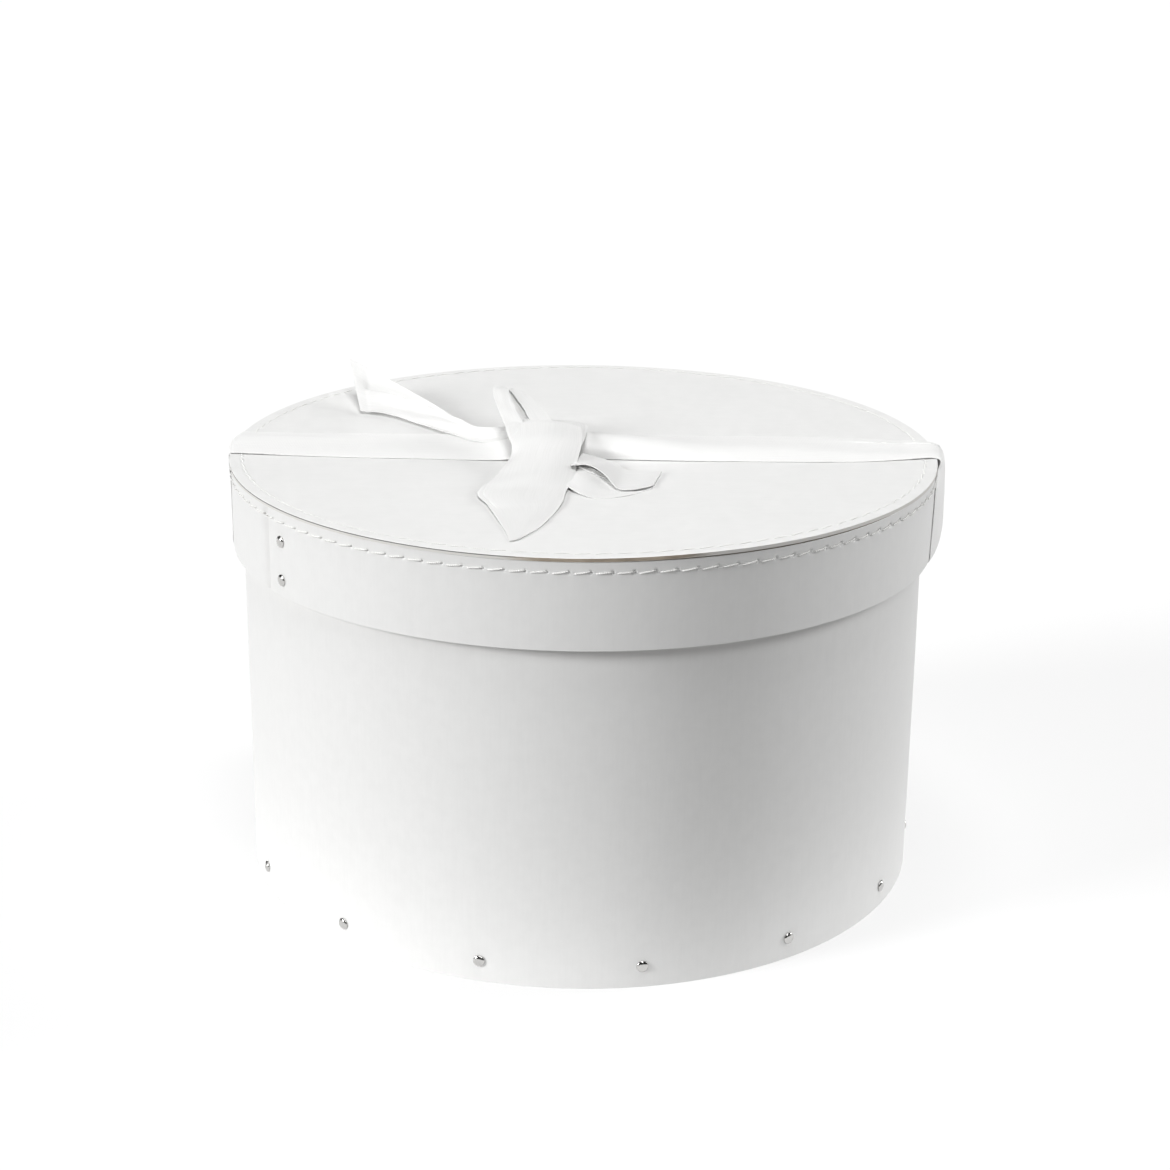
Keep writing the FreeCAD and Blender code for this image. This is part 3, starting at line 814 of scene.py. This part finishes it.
@dataclass
class BaseBoard:
    """The base: a disc with tabs folded up round it, one behind each rivet."""

    name: str = "base_and_tabs"
    radius: float = 191.3 * MM
    board: float = 2.0 * MM
    tab_height: float = 22.0 * MM
    tabs: int = SHARED.rivets
    first: float = SHARED.first_rivet
    notch: float = 44.0 * MM
    relief: float = 4.4 * MM

    def build(self, finishes: Finishes) -> bpy.types.Object:
        """Cuts the disc as a polar grid, nicked at the wall's lap, and carries each tab's
        profile, upright and rounded at its top corners, round its share of the edge.

        Args:
            finishes: the box's finishes.

        Returns:
            The base.
        """
        shell = Shell(self.name)
        azimuth, share = np.meshgrid(np.linspace(0, TURN, 361)[:-1],
                                     np.array([0, 0.2, 0.45, 0.7, 0.9, 0.99, 0.998, 1.0]))
        gap = np.abs((azimuth - SHARED.wall_lap + math.pi) % TURN - math.pi) * self.radius
        rim = self.radius - self.relief * (1 - ease(gap, 21 * MM, 23 * MM))
        soften = 0.2 * MM * (share > 0.9985)
        x, y = rim * share * np.sin(azimuth), -rim * share * np.cos(azimuth)
        lines = np.linspace(0, TURN, 361) * self.radius
        shell.slab(np.stack((x, y, self.board - soften), -1), np.stack((x, y, soften), -1),
                   lines, share[:, 0] * self.radius, wrap=True, inner_edge=False)
        pitch = TURN / self.tabs
        half = (pitch - self.notch / self.radius) / 2
        for i in range(self.tabs):
            s = np.linspace(-1, 1, 25)
            corner = 3 * MM * ease(np.abs(s), 0.86, 1.0) ** 2
            h = np.array([0.0, 0.2, 0.5, 0.8, 0.97, 1.0])[:, None]
            z = 1.0 * MM + (self.tab_height - 1.0 * MM - corner) * h
            turned = self.first + i * pitch + s * half
            soft = 0.2 * MM * (h > 0.99)
            shell.slab(around(turned, self.radius - soft, z),
                       around(turned, self.radius - self.board + soft, z),
                       s * half * self.radius, h[:, 0] * self.tab_height)
        base = shell.build((finishes.board, finishes.strip_cut))
        return settle(base, Body.BOX, Slot.BOARD, "base_board")


# ------------------------------------------------------------------ rivets and thread


def turned_set(name: str, profile: np.ndarray, azimuths: np.ndarray, levels: np.ndarray,
               seat: float, material: bpy.types.Material, sides: int = 28) -> bpy.types.Object:
    """Turns one profile about a radial axis at many places.

    Each point goes out from its seat by its height, and sideways and up by its radius times
    the sine and cosine of the angle around the axis.

    Args:
        name: the object's name.
        profile: radii and heights above the seat, from the axis round to the axis.
        azimuths: where each rivet is.
        levels: its height.
        seat: the radius of the surface that it sits on.
        material: its finish.
        sides: how many sides a circle has.

    Returns:
        The linked object.
    """
    shell = Shell(name)
    angle = np.linspace(0, TURN, sides + 1)[:-1]
    radius, height = profile[:, 0, None], profile[:, 1, None]
    side, up = radius * np.sin(angle), radius * np.cos(angle)
    out = np.broadcast_to(height, side.shape)
    along = np.concatenate(([0.0], np.cumsum(np.linalg.norm(np.diff(profile, axis=0), axis=1))))
    for azimuth, level in zip(azimuths, levels):
        reach = seat + out
        x = reach * math.sin(azimuth) + side * math.cos(azimuth)
        y = -reach * math.cos(azimuth) + side * math.sin(azimuth)
        shell.add(np.stack((x, y, level + up), -1), np.linspace(0, 0.02, sides + 1), along, True)
    return shell.build((material,))


@dataclass
class RivetSet:
    """Rivets with a low domed head outside and a domed cap on the shank's end inside."""

    name: str
    nodes: tuple[str, str]
    body: Body
    seat: float
    cap_seat: float
    azimuths: np.ndarray
    levels: np.ndarray
    head: float = 6.5 * MM
    head_height: float = 1.7 * MM
    cap_height: float = 1.3 * MM
    shank: float = 3.0 * MM

    def dome(self, height: float, sign: float, stem: float) -> np.ndarray:
        """A dome's profile: an ellipse's quarter with a rolled rim, and a stem under it.

        Args:
            height: the dome's height over its seat.
            sign: 1 for a head, -1 for a cap.
            stem: the stem's length.

        Returns:
            The profile's points, each a radius and a height.
        """
        angle = np.linspace(0, math.pi / 2, 9)
        radius = self.head / 2 * np.sin(angle)
        rise = 0.25 * MM + (height - 0.25 * MM) * np.cos(angle) ** 0.9
        rise[-1] = 0.25 * MM
        points = [*zip(radius, rise), (self.head / 2 - 0.05 * MM, 0.1 * MM),
                  (self.head / 2 - 0.2 * MM, 0.0), (self.shank / 2, 0.0),
                  (self.shank / 2, -stem), (0.0, -stem)]
        return np.array(points) * (1, sign)

    def build(self, finishes: Finishes) -> None:
        """Turns the heads with their shanks, and the caps.

        Args:
            finishes: the box's finishes.
        """
        heads = turned_set(self.name + "_heads",
                           self.dome(self.head_height, 1, self.seat - self.cap_seat - 0.1 * MM),
                           self.azimuths, self.levels, self.seat - 0.2 * MM, finishes.nickel)
        settle(heads, self.body, Slot.RIVET, self.nodes[0])
        caps = turned_set(self.name + "_caps", self.dome(self.cap_height, -1, 0.0)[:-2],
                          self.azimuths, self.levels, self.cap_seat, finishes.nickel, 20)
        settle(caps, self.body, Slot.RIVET, self.nodes[1])


@dataclass
class Stitching:
    """A ring of hand-long stitches, each a short tube that dives into its two holes."""

    name: str
    node: str
    upright: bool
    thread: float = 0.85 * MM
    rise: float = 1.0
    sides: int = 8

    def build(self, finishes: Finishes) -> bpy.types.Object:
        """Sews the ring.

        Each stitch's middle line rises out of one hole, bows over the board and sinks into
        the other. A circle is carried along it, its two directions being the seam's own
        across and the bow's outward normal. A little of each stitch's slope and height
        differs, from sines of its number.

        Args:
            finishes: the box's finishes.

        Returns:
            The ring of stitches.
        """
        s = np.array([-4.25, -4.1, -3.7, -3.0, -1.7, 0.0, 1.7, 3.0, 3.7, 4.1, 4.25]) * MM
        out = np.array([-1.2, -0.5, 0.05, 0.30, 0.42, 0.45, 0.40, 0.28, 0.05, -0.5, -1.2]) * MM
        fat = np.array([0.9, 0.9, 0.94, 1.0, 1.03, 1.05, 1.03, 1.0, 0.94, 0.9, 0.9])
        number = np.arange(SHARED.stitches)[:, None, None]
        slope = SHARED.slope * (1 + 0.35 * np.sin(2.3 * number + 1.1))
        swell = 1 + 0.12 * np.sin(1.7 * number)
        bend = np.gradient(out, s)
        angle = np.linspace(0, TURN, self.sides + 1)[None, :-1]
        radius = self.thread / 2 * fat[:, None]
        tilt = np.arctan(bend)[:, None]
        along = s[:, None] - radius * np.cos(angle) * np.sin(tilt)
        lift = (out[:, None] + radius * np.cos(angle) * np.cos(tilt)) * swell * self.rise
        across = radius * np.sin(angle) + along * np.tan(slope)
        along = np.broadcast_to(along, across.shape)
        lift = np.broadcast_to(lift, across.shape)
        seam = SHARED.band if self.upright else SHARED.disc - SHARED.seam_inset
        azimuth = SHARED.needles()[:, None, None] + along / seam
        if self.upright:
            points = around(azimuth, seam + lift, SHARED.seam + across)
        else:
            curl = SHARED.lift(azimuth, np.full_like(azimuth, seam))
            points = around(azimuth, seam - across, SHARED.top + lift + curl)
        shell = Shell(self.name)
        u = np.arange(self.sides + 1) / self.sides
        for one in points:
            shell.add(one, u, s, wrap=True)
            for end in (0, -1):
                middle = np.broadcast_to(one[end].mean(axis=0), one[end].shape)
                shell.add(np.stack((one[end], middle)), u, np.array([0, 0.0005]), True)
        thread = shell.build((finishes.thread,), sharp=75)
        return settle(thread, Body.LID, Slot.THREAD, self.node)


# ------------------------------------------------------------------ ribbon


@dataclass
class RibbonPiece:
    """One length of the satin ribbon, from the lines of its edges.

    Stations are places along the ribbon. Each has two or more points across it, in
    millimetres above the lid's top face, from its near edge to its far one.
    """

    name: str
    node: str
    stations: Sequence[Sequence[tuple[float, float, float]]]
    held: str
    rests_on: tuple[str, ...]
    width: float = 50 * MM
    crown: float = 0.0
    fold_at: tuple[float, float] = (0.5, 0.5)
    pleats: int = 1
    cut_from: float = 2.0
    layer: float = 0.6 * MM
    crease: float = 0.0
    creases: float = 1.5
    drift: float = 70.0
    phase: float = 0.3
    fade: tuple[float, float] = (0.0, 0.0)
    wrinkle: float = 0.12 * MM
    thickness: float = 0.32 * MM
    steps: int = 110
    lines: int = 57

    def sheet_points(self) -> np.ndarray:
        """Carries the edge lines along the stations and fills in between.

        Across, the surface is the parabola through its near, middle and far points. The
        cloth lies on it in a knife fold wherever the edges are closer than its width, and
        a crown, creases and fine wrinkles move it along its own normal.

        Returns:
            The cloth's middle surface: steps by lines by three.
        """
        data = np.array([self.filled(row) for row in self.stations]) * MM
        flat = smooth_line(data.reshape(len(data), 9), self.steps).reshape(-1, 3, 3)
        wide = np.linalg.norm(np.diff(flat, axis=1), axis=2).sum(axis=1)[:, None]
        plain = np.linspace(0, 1, self.lines)[None, :]
        s, layer = self.knife_fold(plain, wide)
        edges = [flat[:, None, k] for k in range(3)]
        surface = parabola(*edges, s[..., None])
        guide = parabola(*edges, plain[..., None])
        run = np.linalg.norm(np.diff(flat[:, 1], axis=0), axis=1)
        v = np.concatenate(([0.0], np.cumsum(run)))[:, None]
        out = self.crown * 4 * s * (1 - s) * self.ends(v) + layer
        out = out + self.crease * 4 * s * (1 - s) * self.ends(v) * np.sin(
            TURN * (self.creases * s + v / (self.drift * MM)) + self.phase * TURN)
        out = out + self.wrinkle * (
            np.sin(v / (3.9 * MM) + 4 * s + self.phase * 9)
            + 0.8 * np.sin(v / (9.5 * MM) - 7 * s) * np.sin(5 * s + v / (17 * MM)))
        surface = surface + self.normals(guide) * out[..., None]
        surface[..., 2] += SHARED.top
        return surface

    def knife_fold(self, flat: np.ndarray, wide: np.ndarray) -> tuple[np.ndarray, np.ndarray]:
        """Folds the ribbon's spare width into knife folds that keep its length across.

        The cloth runs forward, then back and forward by one fold's depth at each fold, and
        forward to its far edge. The runs lie one over the other, and a short running mean
        rounds the fold lines. Past cut_from the ribbon is cut narrower instead.

        Args:
            flat: place across the flat ribbon, from 0 to 1.
            wide: how far apart the edges now are, at each place along it.

        Returns:
            The share of the way from edge to edge, and the height of its layer.
        """
        rows = np.linspace(0, 1, self.steps)[:, None]
        whole = 1 - ease(rows, self.cut_from, self.cut_from + 0.15)
        spare = np.clip(self.width - wide, 0, None) * whole
        depth = spare / 2 / self.pleats
        share = np.linspace(*self.fold_at, self.steps)[:, None]
        first = share * (wide + depth)
        inner = depth * (2 * self.pleats - 1)
        q = flat * (wide + spare)
        past = np.clip(q - first, 0, inner)
        turn = past % np.maximum(2 * depth, 1e-9)
        place = np.minimum(q, first) - np.where(turn < depth, turn, 2 * depth - turn)
        place = place + np.clip(q - first - inner, 0, None)
        reach = np.maximum(inner / 2, 0.5 * MM)
        levels = np.clip((q - first - inner / 2) / reach, -1, 1) * self.layer * self.pleats
        levels = levels * ease(spare, 0, 4 * MM)
        window = np.array([1, 2, 3, 2, 1]) / 9
        both = []
        for values in (place / wide, levels):
            padded = np.pad(values, ((0, 0), (2, 2)), mode="reflect", reflect_type="odd")
            both.append(sum(w * padded[:, k : k + self.lines] for k, w in enumerate(window)))
        return both[0], both[1]

    def filled(self, row: Sequence[tuple[float, float, float]]) -> list[tuple[float, ...]]:
        """A station's near, middle and far points; two points get their midpoint.

        Args:
            row: the station's two or three points.

        Returns:
            Its three points.
        """
        if len(row) == 3:
            return [tuple(p) for p in row]
        near, far = row
        return [tuple(near), tuple((a + b) / 2 for a, b in zip(near, far)), tuple(far)]

    def ends(self, v: np.ndarray) -> np.ndarray:
        """Fades a shape in and out over the two given lengths at the ribbon's ends.

        Args:
            v: distances along the ribbon.

        Returns:
            The share at each distance.
        """
        rise = ease(v, 0, self.fade[0]) if self.fade[0] else 1.0
        fall = ease(v[-1] - v, 0, self.fade[1]) if self.fade[1] else 1.0
        return rise * fall * np.ones_like(v)

    @staticmethod
    def normals(surface: np.ndarray) -> np.ndarray:
        """Unit normals of a grid: along it crossed with across it."""
        cross = np.cross(np.gradient(surface, axis=0), np.gradient(surface, axis=1))
        return cross / np.maximum(np.linalg.norm(cross, axis=-1, keepdims=True), 1e-12)

    def build(self, finishes: Finishes) -> bpy.types.Object:
        """Args:
            finishes: the box's finishes.

        Returns:
            The ribbon's piece.
        """
        surface = self.sheet_points()
        normal = self.normals(surface) * self.thickness / 2
        run = np.linalg.norm(np.diff(surface[:, self.lines // 2], axis=0), axis=1)
        v = np.concatenate(([0.0], np.cumsum(run)))
        u = np.linspace(-0.5, 0.5, self.lines) * self.width
        shell = Shell(self.name)
        shell.slab(surface + normal, surface - normal, u, v, edge=Face.COATED)
        # The straps take the ribbon and the bow's pieces take its darker copy, whose darkness is
        # painted shade.
        cloth = finishes.ribbon if self.held == "stretched" else finishes.bow
        piece = shell.build((cloth,), sharp=70)
        settle(piece, Body.LID, Slot.RIBBON, self.node)
        return piece


def drop(azimuth: tuple[float, float, float], radius: tuple[float, float, float],
         level: float) -> list[tuple[float, float, float]]:
    """A station on the band: three azimuths in degrees, three radii and one level in mm."""
    return [(r * math.sin(math.radians(a)), -r * math.cos(math.radians(a)), level)
            for a, r in zip(azimuth, radius)]


RIGHT_STRAP = (
    [(-8, -22, 0.6), (-8, -9, 11), (-8, 17, 1.5)],
    [(12, -24, 0.4), (13, -9, 9.5), (14, 18, 1.5)],
    [(40, -25.5, 0.4), (40, -10, 6.8), (40, 22, 1.4)],
    [(70, -26, 0.4), (70, -8, 3.6), (70, 24, 1.2)],
    [(100, -26, 0.35), (100, -2, 2.3), (100, 25, 0.9)],
    [(127, -26, 0.35), (127, 0, 1.8), (127, 25, 0.8)],
    [(155, -24.5, 0.4), (155, -1, 1.6), (155, 22, 0.7)],
    [(180, -20, 0.7), (180, -1, 1.6), (180, 18.5, 0.9)],
    [(197, -16.5, 0.9), (198, 0, 1.8), (197, 16.5, 1.0)],
    [(201.2, -18, -0.5), (204.6, 0, 0.2), (202.6, 17, -0.2)],
    drop((83, 90, 96), (200.4, 206.4, 203.4), -5),
    drop((80, 89, 97), (199.8, 206.4, 203.2), -14),
    drop((77.5, 87.5, 97), (199.65, 206.0, 202.8), -30),
    drop((76, 86.8, 97), (199.6, 205.2, 202.4), -42),
    drop((75.5, 86.5, 97), (199.5, 203.0, 201.6), -49.0),
    drop((75.5, 86.5, 97), (198.2, 199.6, 199.4), -50.6),
    drop((75.8, 86.5, 97), (195.9, 196.0, 196.0), -48.6),
    drop((76, 86.5, 97), (195.5, 195.5, 195.5), -38),
    drop((76, 86.5, 97), (195.5, 195.5, 195.5), -24),
)
LEFT_STRAP = (
    [(-26, -24, 1.6), (-26, 0, 10), (-26, 12, 10)],
    [(-46, -28, 0.5), (-46, -3, 4.5), (-46, 18, 4)],
    [(-66, -27.5, 0.35), (-66, -2, 1.8), (-66, 22, 1.6)],
    [(-90, -26, 0.3), (-90, 0, 1.2), (-90, 25, 0.6)],
    [(-130, -24.5, 0.3), (-130, 0, 1.2), (-130, 25, 0.5)],
    [(-165, -22, 0.35), (-165, 1, 1.2), (-165, 25, 0.5)],
    [(-190, -19.5, 0.6), (-191, 2, 1.3), (-190, 26, 0.7)],
    [(-198.6, -18.5, 0.3), (-200, 2, 1.2), (-198, 27, 0.7)],
    [(-199.4, -18.8, -1.0), (-201.8, 2, -0.4), (-199.2, 27, -0.9)],
    drop((-84, -90, -97.4), (200.2, 201.6, 200.6), -6),
    drop((-83.4, -90, -97.3), (199.65, 201.0, 200.2), -18),
    drop((-83, -90, -97.2), (199.6, 200.7, 200.0), -34),
    drop((-82.6, -90, -97.2), (199.6, 200.5, 200.0), -45.5),
    drop((-82.5, -90, -97.2), (199.5, 200.0, 199.8), -49.4),
    drop((-82.5, -90, -97.2), (198.2, 198.4, 198.4), -50.6),
    drop((-82.5, -90, -97.2), (195.9, 196.0, 196.0), -48.6),
    drop((-82.5, -90, -97.2), (195.5, 195.5, 195.5), -38),
    drop((-82.5, -90, -97.2), (195.5, 195.5, 195.5), -24),
)
TAIL_BACK = (((-28, -6, 7), (-28, 6, 9)), ((-58, 0, 2.4), (-60, 13, 7)),
             ((-74, 18, 1.6), (-73, 32, 8)), ((-95, 42, 1.2), (-92, 61, 11)),
             ((-116, 64, 1.4), (-118, 95, 15.5)), ((-134, 72, 1.8), (-145, 123, 21.5)))
TAIL_FRONT = (((-38, -8, 15.5), (-20, -9, 18), (-2, -10, 14.6)),
              ((-37, -28, 13), (-20, -30, 15), (-1, -28, 11.5)),
              ((-37, -46, 9.0), (-22, -48, 11), (-3, -46, 7.0)),
              ((-45, -69, 5.2), (-26, -70, 7.0), (-5, -67, 2.6)),
              ((-56, -95, 2.2), (-32, -94, 3.6), (-9, -89, 0.8)),
              ((-50, -115, 1.2), (-31, -114, 2.4), (-11, -110, 0.6)),
              ((-44.5, -137, 0.7), (-30, -134, 1.5), (-16, -132, 0.5)),
              ((-39.5, -157, 0.5), (-31, -154, 1.0), (-22, -152, 0.45)),
              ((-36.5, -175, 0.45), (-34, -174, 0.6), (-31.5, -171, 0.45)))
LOOP_BACK = (((-42, -18, 13), (-25, -18, 14)), ((-45.5, -6, 16), (-31, -7, 16)),
             ((-49, 7, 20), (-36, 6, 19.6)), ((-52, 20, 24), (-41, 20, 23)),
             ((-53, 28, 26.4), (-42.5, 29, 25)), ((-51.5, 32, 27.0), (-40, 34, 25)),
             ((-48, 32, 26), (-34, 33, 23)), ((-44, 24, 23), (-28, 24, 20)),
             ((-40, 9, 19), (-21, 8, 17)), ((-38, -6, 15.5), (-16, -8, 13.5)))
LOOP_FRONT = (((-14, -70, 3.5), (-6, -44, 5)), ((-4, -90, 1.2), (6, -58, 4.0)),
              ((6, -98.5, 0.45), (14, -61, 1.6)), ((20, -96, 0.45), (25, -58, 0.8)),
              ((32, -86, 0.45), (36, -58, 0.7)), ((37.5, -78, 0.8), (41, -60, 0.9)),
              ((33, -83, 1.1), (37, -57, 1.3)), ((25, -87, 1.05), (30, -52, 1.4)),
              ((18, -85, 1.3), (23, -48, 1.6)), ((11, -70, 5.2), (17, -43, 2.4)),
              ((3, -61, 7.0), (9, -38, 3.6)), ((-7, -60, 6.6), (-2, -38, 5.5)))
# The knot: the ribbon wound once round its crossing, from the front up over and down behind.
KNOT = (
    [(-37, -31, 3), (-22, -34, 4), (-7, -36, 3)],
    [(-39, -30, 8), (-21, -34, 9), (-3, -34, 7)],
    [(-42, -24, 12.5), (-20, -27, 14.5), (0, -25, 11)],
    [(-44, -12, 15), (-20, -14, 17.5), (2, -10, 13)],
    [(-44, 2, 15.5), (-20, 2, 17.5), (2, 3, 13)],
    [(-43, 13, 13.5), (-20, 15, 15.5), (0, 13, 11)],
    [(-42, 20, 9), (-22, 22, 10), (-3, 18, 7)],
    [(-40, 21, 3), (-22, 22, 3), (-6, 19, 3)],
)


# ------------------------------------------------------------------ the whole


@dataclass
class HatBox:
    """The whole hat box, sub-assembly by sub-assembly."""

    finishes: Finishes

    def base_azimuths(self) -> np.ndarray:
        """The base rivets' azimuths, at equal steps."""
        return SHARED.first_rivet + np.arange(SHARED.rivets) * TURN / SHARED.rivets

    def build_box(self) -> None:
        """The drum: wall, base and their rivets."""
        foot, seam = 12 * MM, np.array([34, 80, 126, 172]) * MM
        dents = [(a, foot) for a in self.base_azimuths()]
        wall = RolledStrip("wall_strip", Body.BOX, SHARED.wall, 0.0, SHARED.wall_height,
                           SHARED.wall_lap, dents)
        settle(wall.build(self.finishes), Body.BOX, Slot.BOARD, "box_wall")
        BaseBoard().build(self.finishes)
        RivetSet("foot_rivet", ("base_rivets", "base_rivet_caps"), Body.BOX, SHARED.wall,
                 189.3 * MM, self.base_azimuths(),
                 np.full(SHARED.rivets, foot)).build(self.finishes)
        RivetSet("wall_rivet", ("wall_rivets", "wall_rivet_caps"), Body.BOX, SHARED.wall,
                 189.35 * MM, np.full(4, SHARED.wall_lap), seam).build(self.finishes)

    def build_lid(self) -> None:
        """The lid: band, disc, stitches and rivets."""
        levels = np.array([200.7, 222.1]) * MM
        band = RolledStrip("lid_band_strip", Body.LID, SHARED.band, SHARED.rim,
                           SHARED.wall_height, SHARED.band_lap,
                           [(SHARED.band_lap, z) for z in levels], seam=SHARED.seam)
        settle(band.build(self.finishes), Body.LID, Slot.BOARD, "lid_band")
        LidDisc().build(self.finishes)
        Stitching("band_stitches", "lid_side_stitches", True).build(self.finishes)
        Stitching("disc_stitches", "lid_top_stitches", False, rise=0.4).build(self.finishes)
        RivetSet("lid_rivet", ("band_rivets", "band_rivet_caps"), Body.LID, SHARED.band,
                 195.3 * MM, np.full(2, SHARED.band_lap), levels).build(self.finishes)

    def build_ribbon(self) -> None:
        """The ribbon: two straps, the knot, two loops and two tails."""
        on_lid = ("lid_disc",)
        pieces = (
            RibbonPiece("strap_right", "ribbon_right", RIGHT_STRAP, "stretched",
                        ("lid_disc", "lid_band_strip"), crease=0.35 * MM, creases=1.2,
                        drift=240, fade=(10 * MM, 60 * MM), steps=200, lines=41,
                        wrinkle=0.03 * MM, fold_at=(0.8, 0.8), layer=0.15 * MM),
            RibbonPiece("strap_left", "ribbon_left", LEFT_STRAP, "stretched",
                        ("lid_disc", "lid_band_strip"), crease=0.3 * MM, creases=1.1,
                        drift=260, fade=(10 * MM, 60 * MM), steps=200, lines=41,
                        wrinkle=0.03 * MM, fold_at=(0.8, 0.8), layer=0.15 * MM),
            RibbonPiece("bow_knot", "ribbon_knot", KNOT, "folded", on_lid, crown=2.0 * MM,
                        crease=0.6 * MM, creases=1.4, drift=-75, phase=0.15, steps=90),
            RibbonPiece("bow_tail_back", "ribbon_tail_back", TAIL_BACK, "draped", on_lid,
                        crease=0.8 * MM, creases=1.3, phase=0.2, fade=(4 * MM, 12 * MM),
                        crown=1.2 * MM),
            RibbonPiece("bow_tail_front", "ribbon_tail_front", TAIL_FRONT, "draped", on_lid,
                        crease=0.5 * MM, creases=1.0, phase=0.7, fade=(4 * MM, 50 * MM),
                        fold_at=(0.04, 0.12), layer=0.4 * MM, cut_from=0.55),
            RibbonPiece("bow_loop_back", "ribbon_loop_back", LOOP_BACK, "gathered", on_lid,
                        phase=0.4, pleats=2, layer=0.4 * MM, lines=81),
            RibbonPiece("bow_loop_front", "ribbon_loop_front", LOOP_FRONT, "gathered",
                        on_lid, phase=0.9, fade=(3 * MM, 3 * MM), fold_at=(0.85, 0.85),
                        layer=0.3 * MM),
        )
        for piece in pieces:
            piece.build(self.finishes)


@dataclass
class Studio:
    """A white floor, soft light from the left and above, and the camera."""

    place: tuple[float, float, float] = (0.00146, -1.2942, 0.60326)
    pitch: float = 0.3314
    roll: float = 0.009
    lens: float = 72.4
    floor: float = 30.0
    table: float = 0.28
    grey: float = 0.35
    glow: float = 0.6
    sky: float = 0.02
    low_sky: float = 0.41
    suns: tuple[tuple[str, float, float, float, float], ...] = (
        ("top_light", 1.84, 30.0, 0.0, 89.0),
        ("front_light", 0.62, 24.0, 20.0, 48.0),
        ("left_light", 2.72, 20.0, -68.0, 20.0),
        ("right_light", 1.5, 20.0, 108.0, 20.0),
    )

    def build(self) -> None:
        """Lays the floor, sets the lights and places the camera."""
        self.lay_floor()
        self.light()
        data = bpy.data.cameras.new("camera")
        data.lens, data.sensor_width = self.lens, 36.0
        camera = bpy.data.objects.new("camera", data)
        tilt = Matrix.Rotation(math.pi / 2 - self.pitch, 4, "X")
        turn = tilt @ Matrix.Rotation(self.roll, 4, "Z")
        camera.matrix_world = Matrix.Translation(Vector(self.place)) @ turn
        bpy.context.scene.collection.objects.link(camera)
        bpy.context.scene.camera = camera
        bpy.context.scene.view_settings.view_transform = "Standard"

    def lay_floor(self) -> None:
        """Lays a light table of white acrylic at z = 0.

        It is a disc round the box, which lights the wall from below, and a wide surround,
        whose light the box doesn't take.
        """
        material, _, shader = shaded("backlit_white_acrylic")
        shader.inputs["Base Color"].default_value = (self.grey, self.grey, self.grey, 1)
        shader.inputs["Roughness"].default_value = 1.0
        shader.inputs["Specular IOR Level"].default_value = 0.0
        shader.inputs["Emission Color"].default_value = (1, 1, 1, 1)
        shader.inputs["Emission Strength"].default_value = self.glow
        turn = np.linspace(0, TURN, 97)
        for name, inner, outer in (("floor_table", 0.0, self.table),
                                   ("floor_surround", self.table, self.floor)):
            azimuth, radius = np.meshgrid(turn[:-1], np.array([inner, outer]))
            shell = Shell(name)
            shell.add(around(azimuth, radius, np.zeros_like(radius)), turn,
                      np.array([inner, outer]), wrap=True)
            floor = shell.build((material,))
            floor.visible_diffuse = floor.visible_shadow = inner == 0

    def light(self) -> None:
        """A dim sky, brighter below the table's level, and four wide suns.

        One stands overhead and one in front. The two low ones stand a quarter turn either
        side of the front right, so that part of the wall gets least light. The sky's strength
        goes from its lower to its upper value over a few degrees round the horizon.
        """
        world = bpy.data.worlds.new("studio")
        bpy.context.scene.world = world
        world.use_nodes = True
        tree = world.node_tree
        where = add_node(tree, "ShaderNodeTexCoord").outputs["Generated"]
        height = add_node(tree, "ShaderNodeSeparateXYZ", Vector=where).outputs["Z"]
        strength = add_node(tree, "ShaderNodeMapRange", Value=height, From_Min=-0.05,
                            From_Max=0.05, To_Min=self.low_sky, To_Max=self.sky)
        background = tree.nodes["Background"]
        background.inputs["Color"].default_value = (1, 1, 1, 1)
        tree.links.new(strength.outputs["Result"], background.inputs["Strength"])
        for name, energy, spread, azimuth, rise in self.suns:
            a, e = math.radians(azimuth), math.radians(rise)
            towards = Vector((math.sin(a) * math.cos(e), -math.cos(a) * math.cos(e), math.sin(e)))
            data = bpy.data.lights.new(name, "SUN")
            data.energy, data.angle = energy, math.radians(spread)
            sun = bpy.data.objects.new(name, data)
            sun.matrix_world = towards.to_track_quat("Z", "Y").to_matrix().to_4x4()
            bpy.context.scene.collection.objects.link(sun)


def main() -> None:
    """Builds the finishes, the box, the lid, the ribbon and the studio, in that order."""
    logging.basicConfig(level=logging.INFO, format="%(name)s: %(message)s")
    box = HatBox(Finishes.make())
    box.build_box()
    box.build_lid()
    box.build_ribbon()
    Studio().build()


if __name__ == "__main__":
    main()
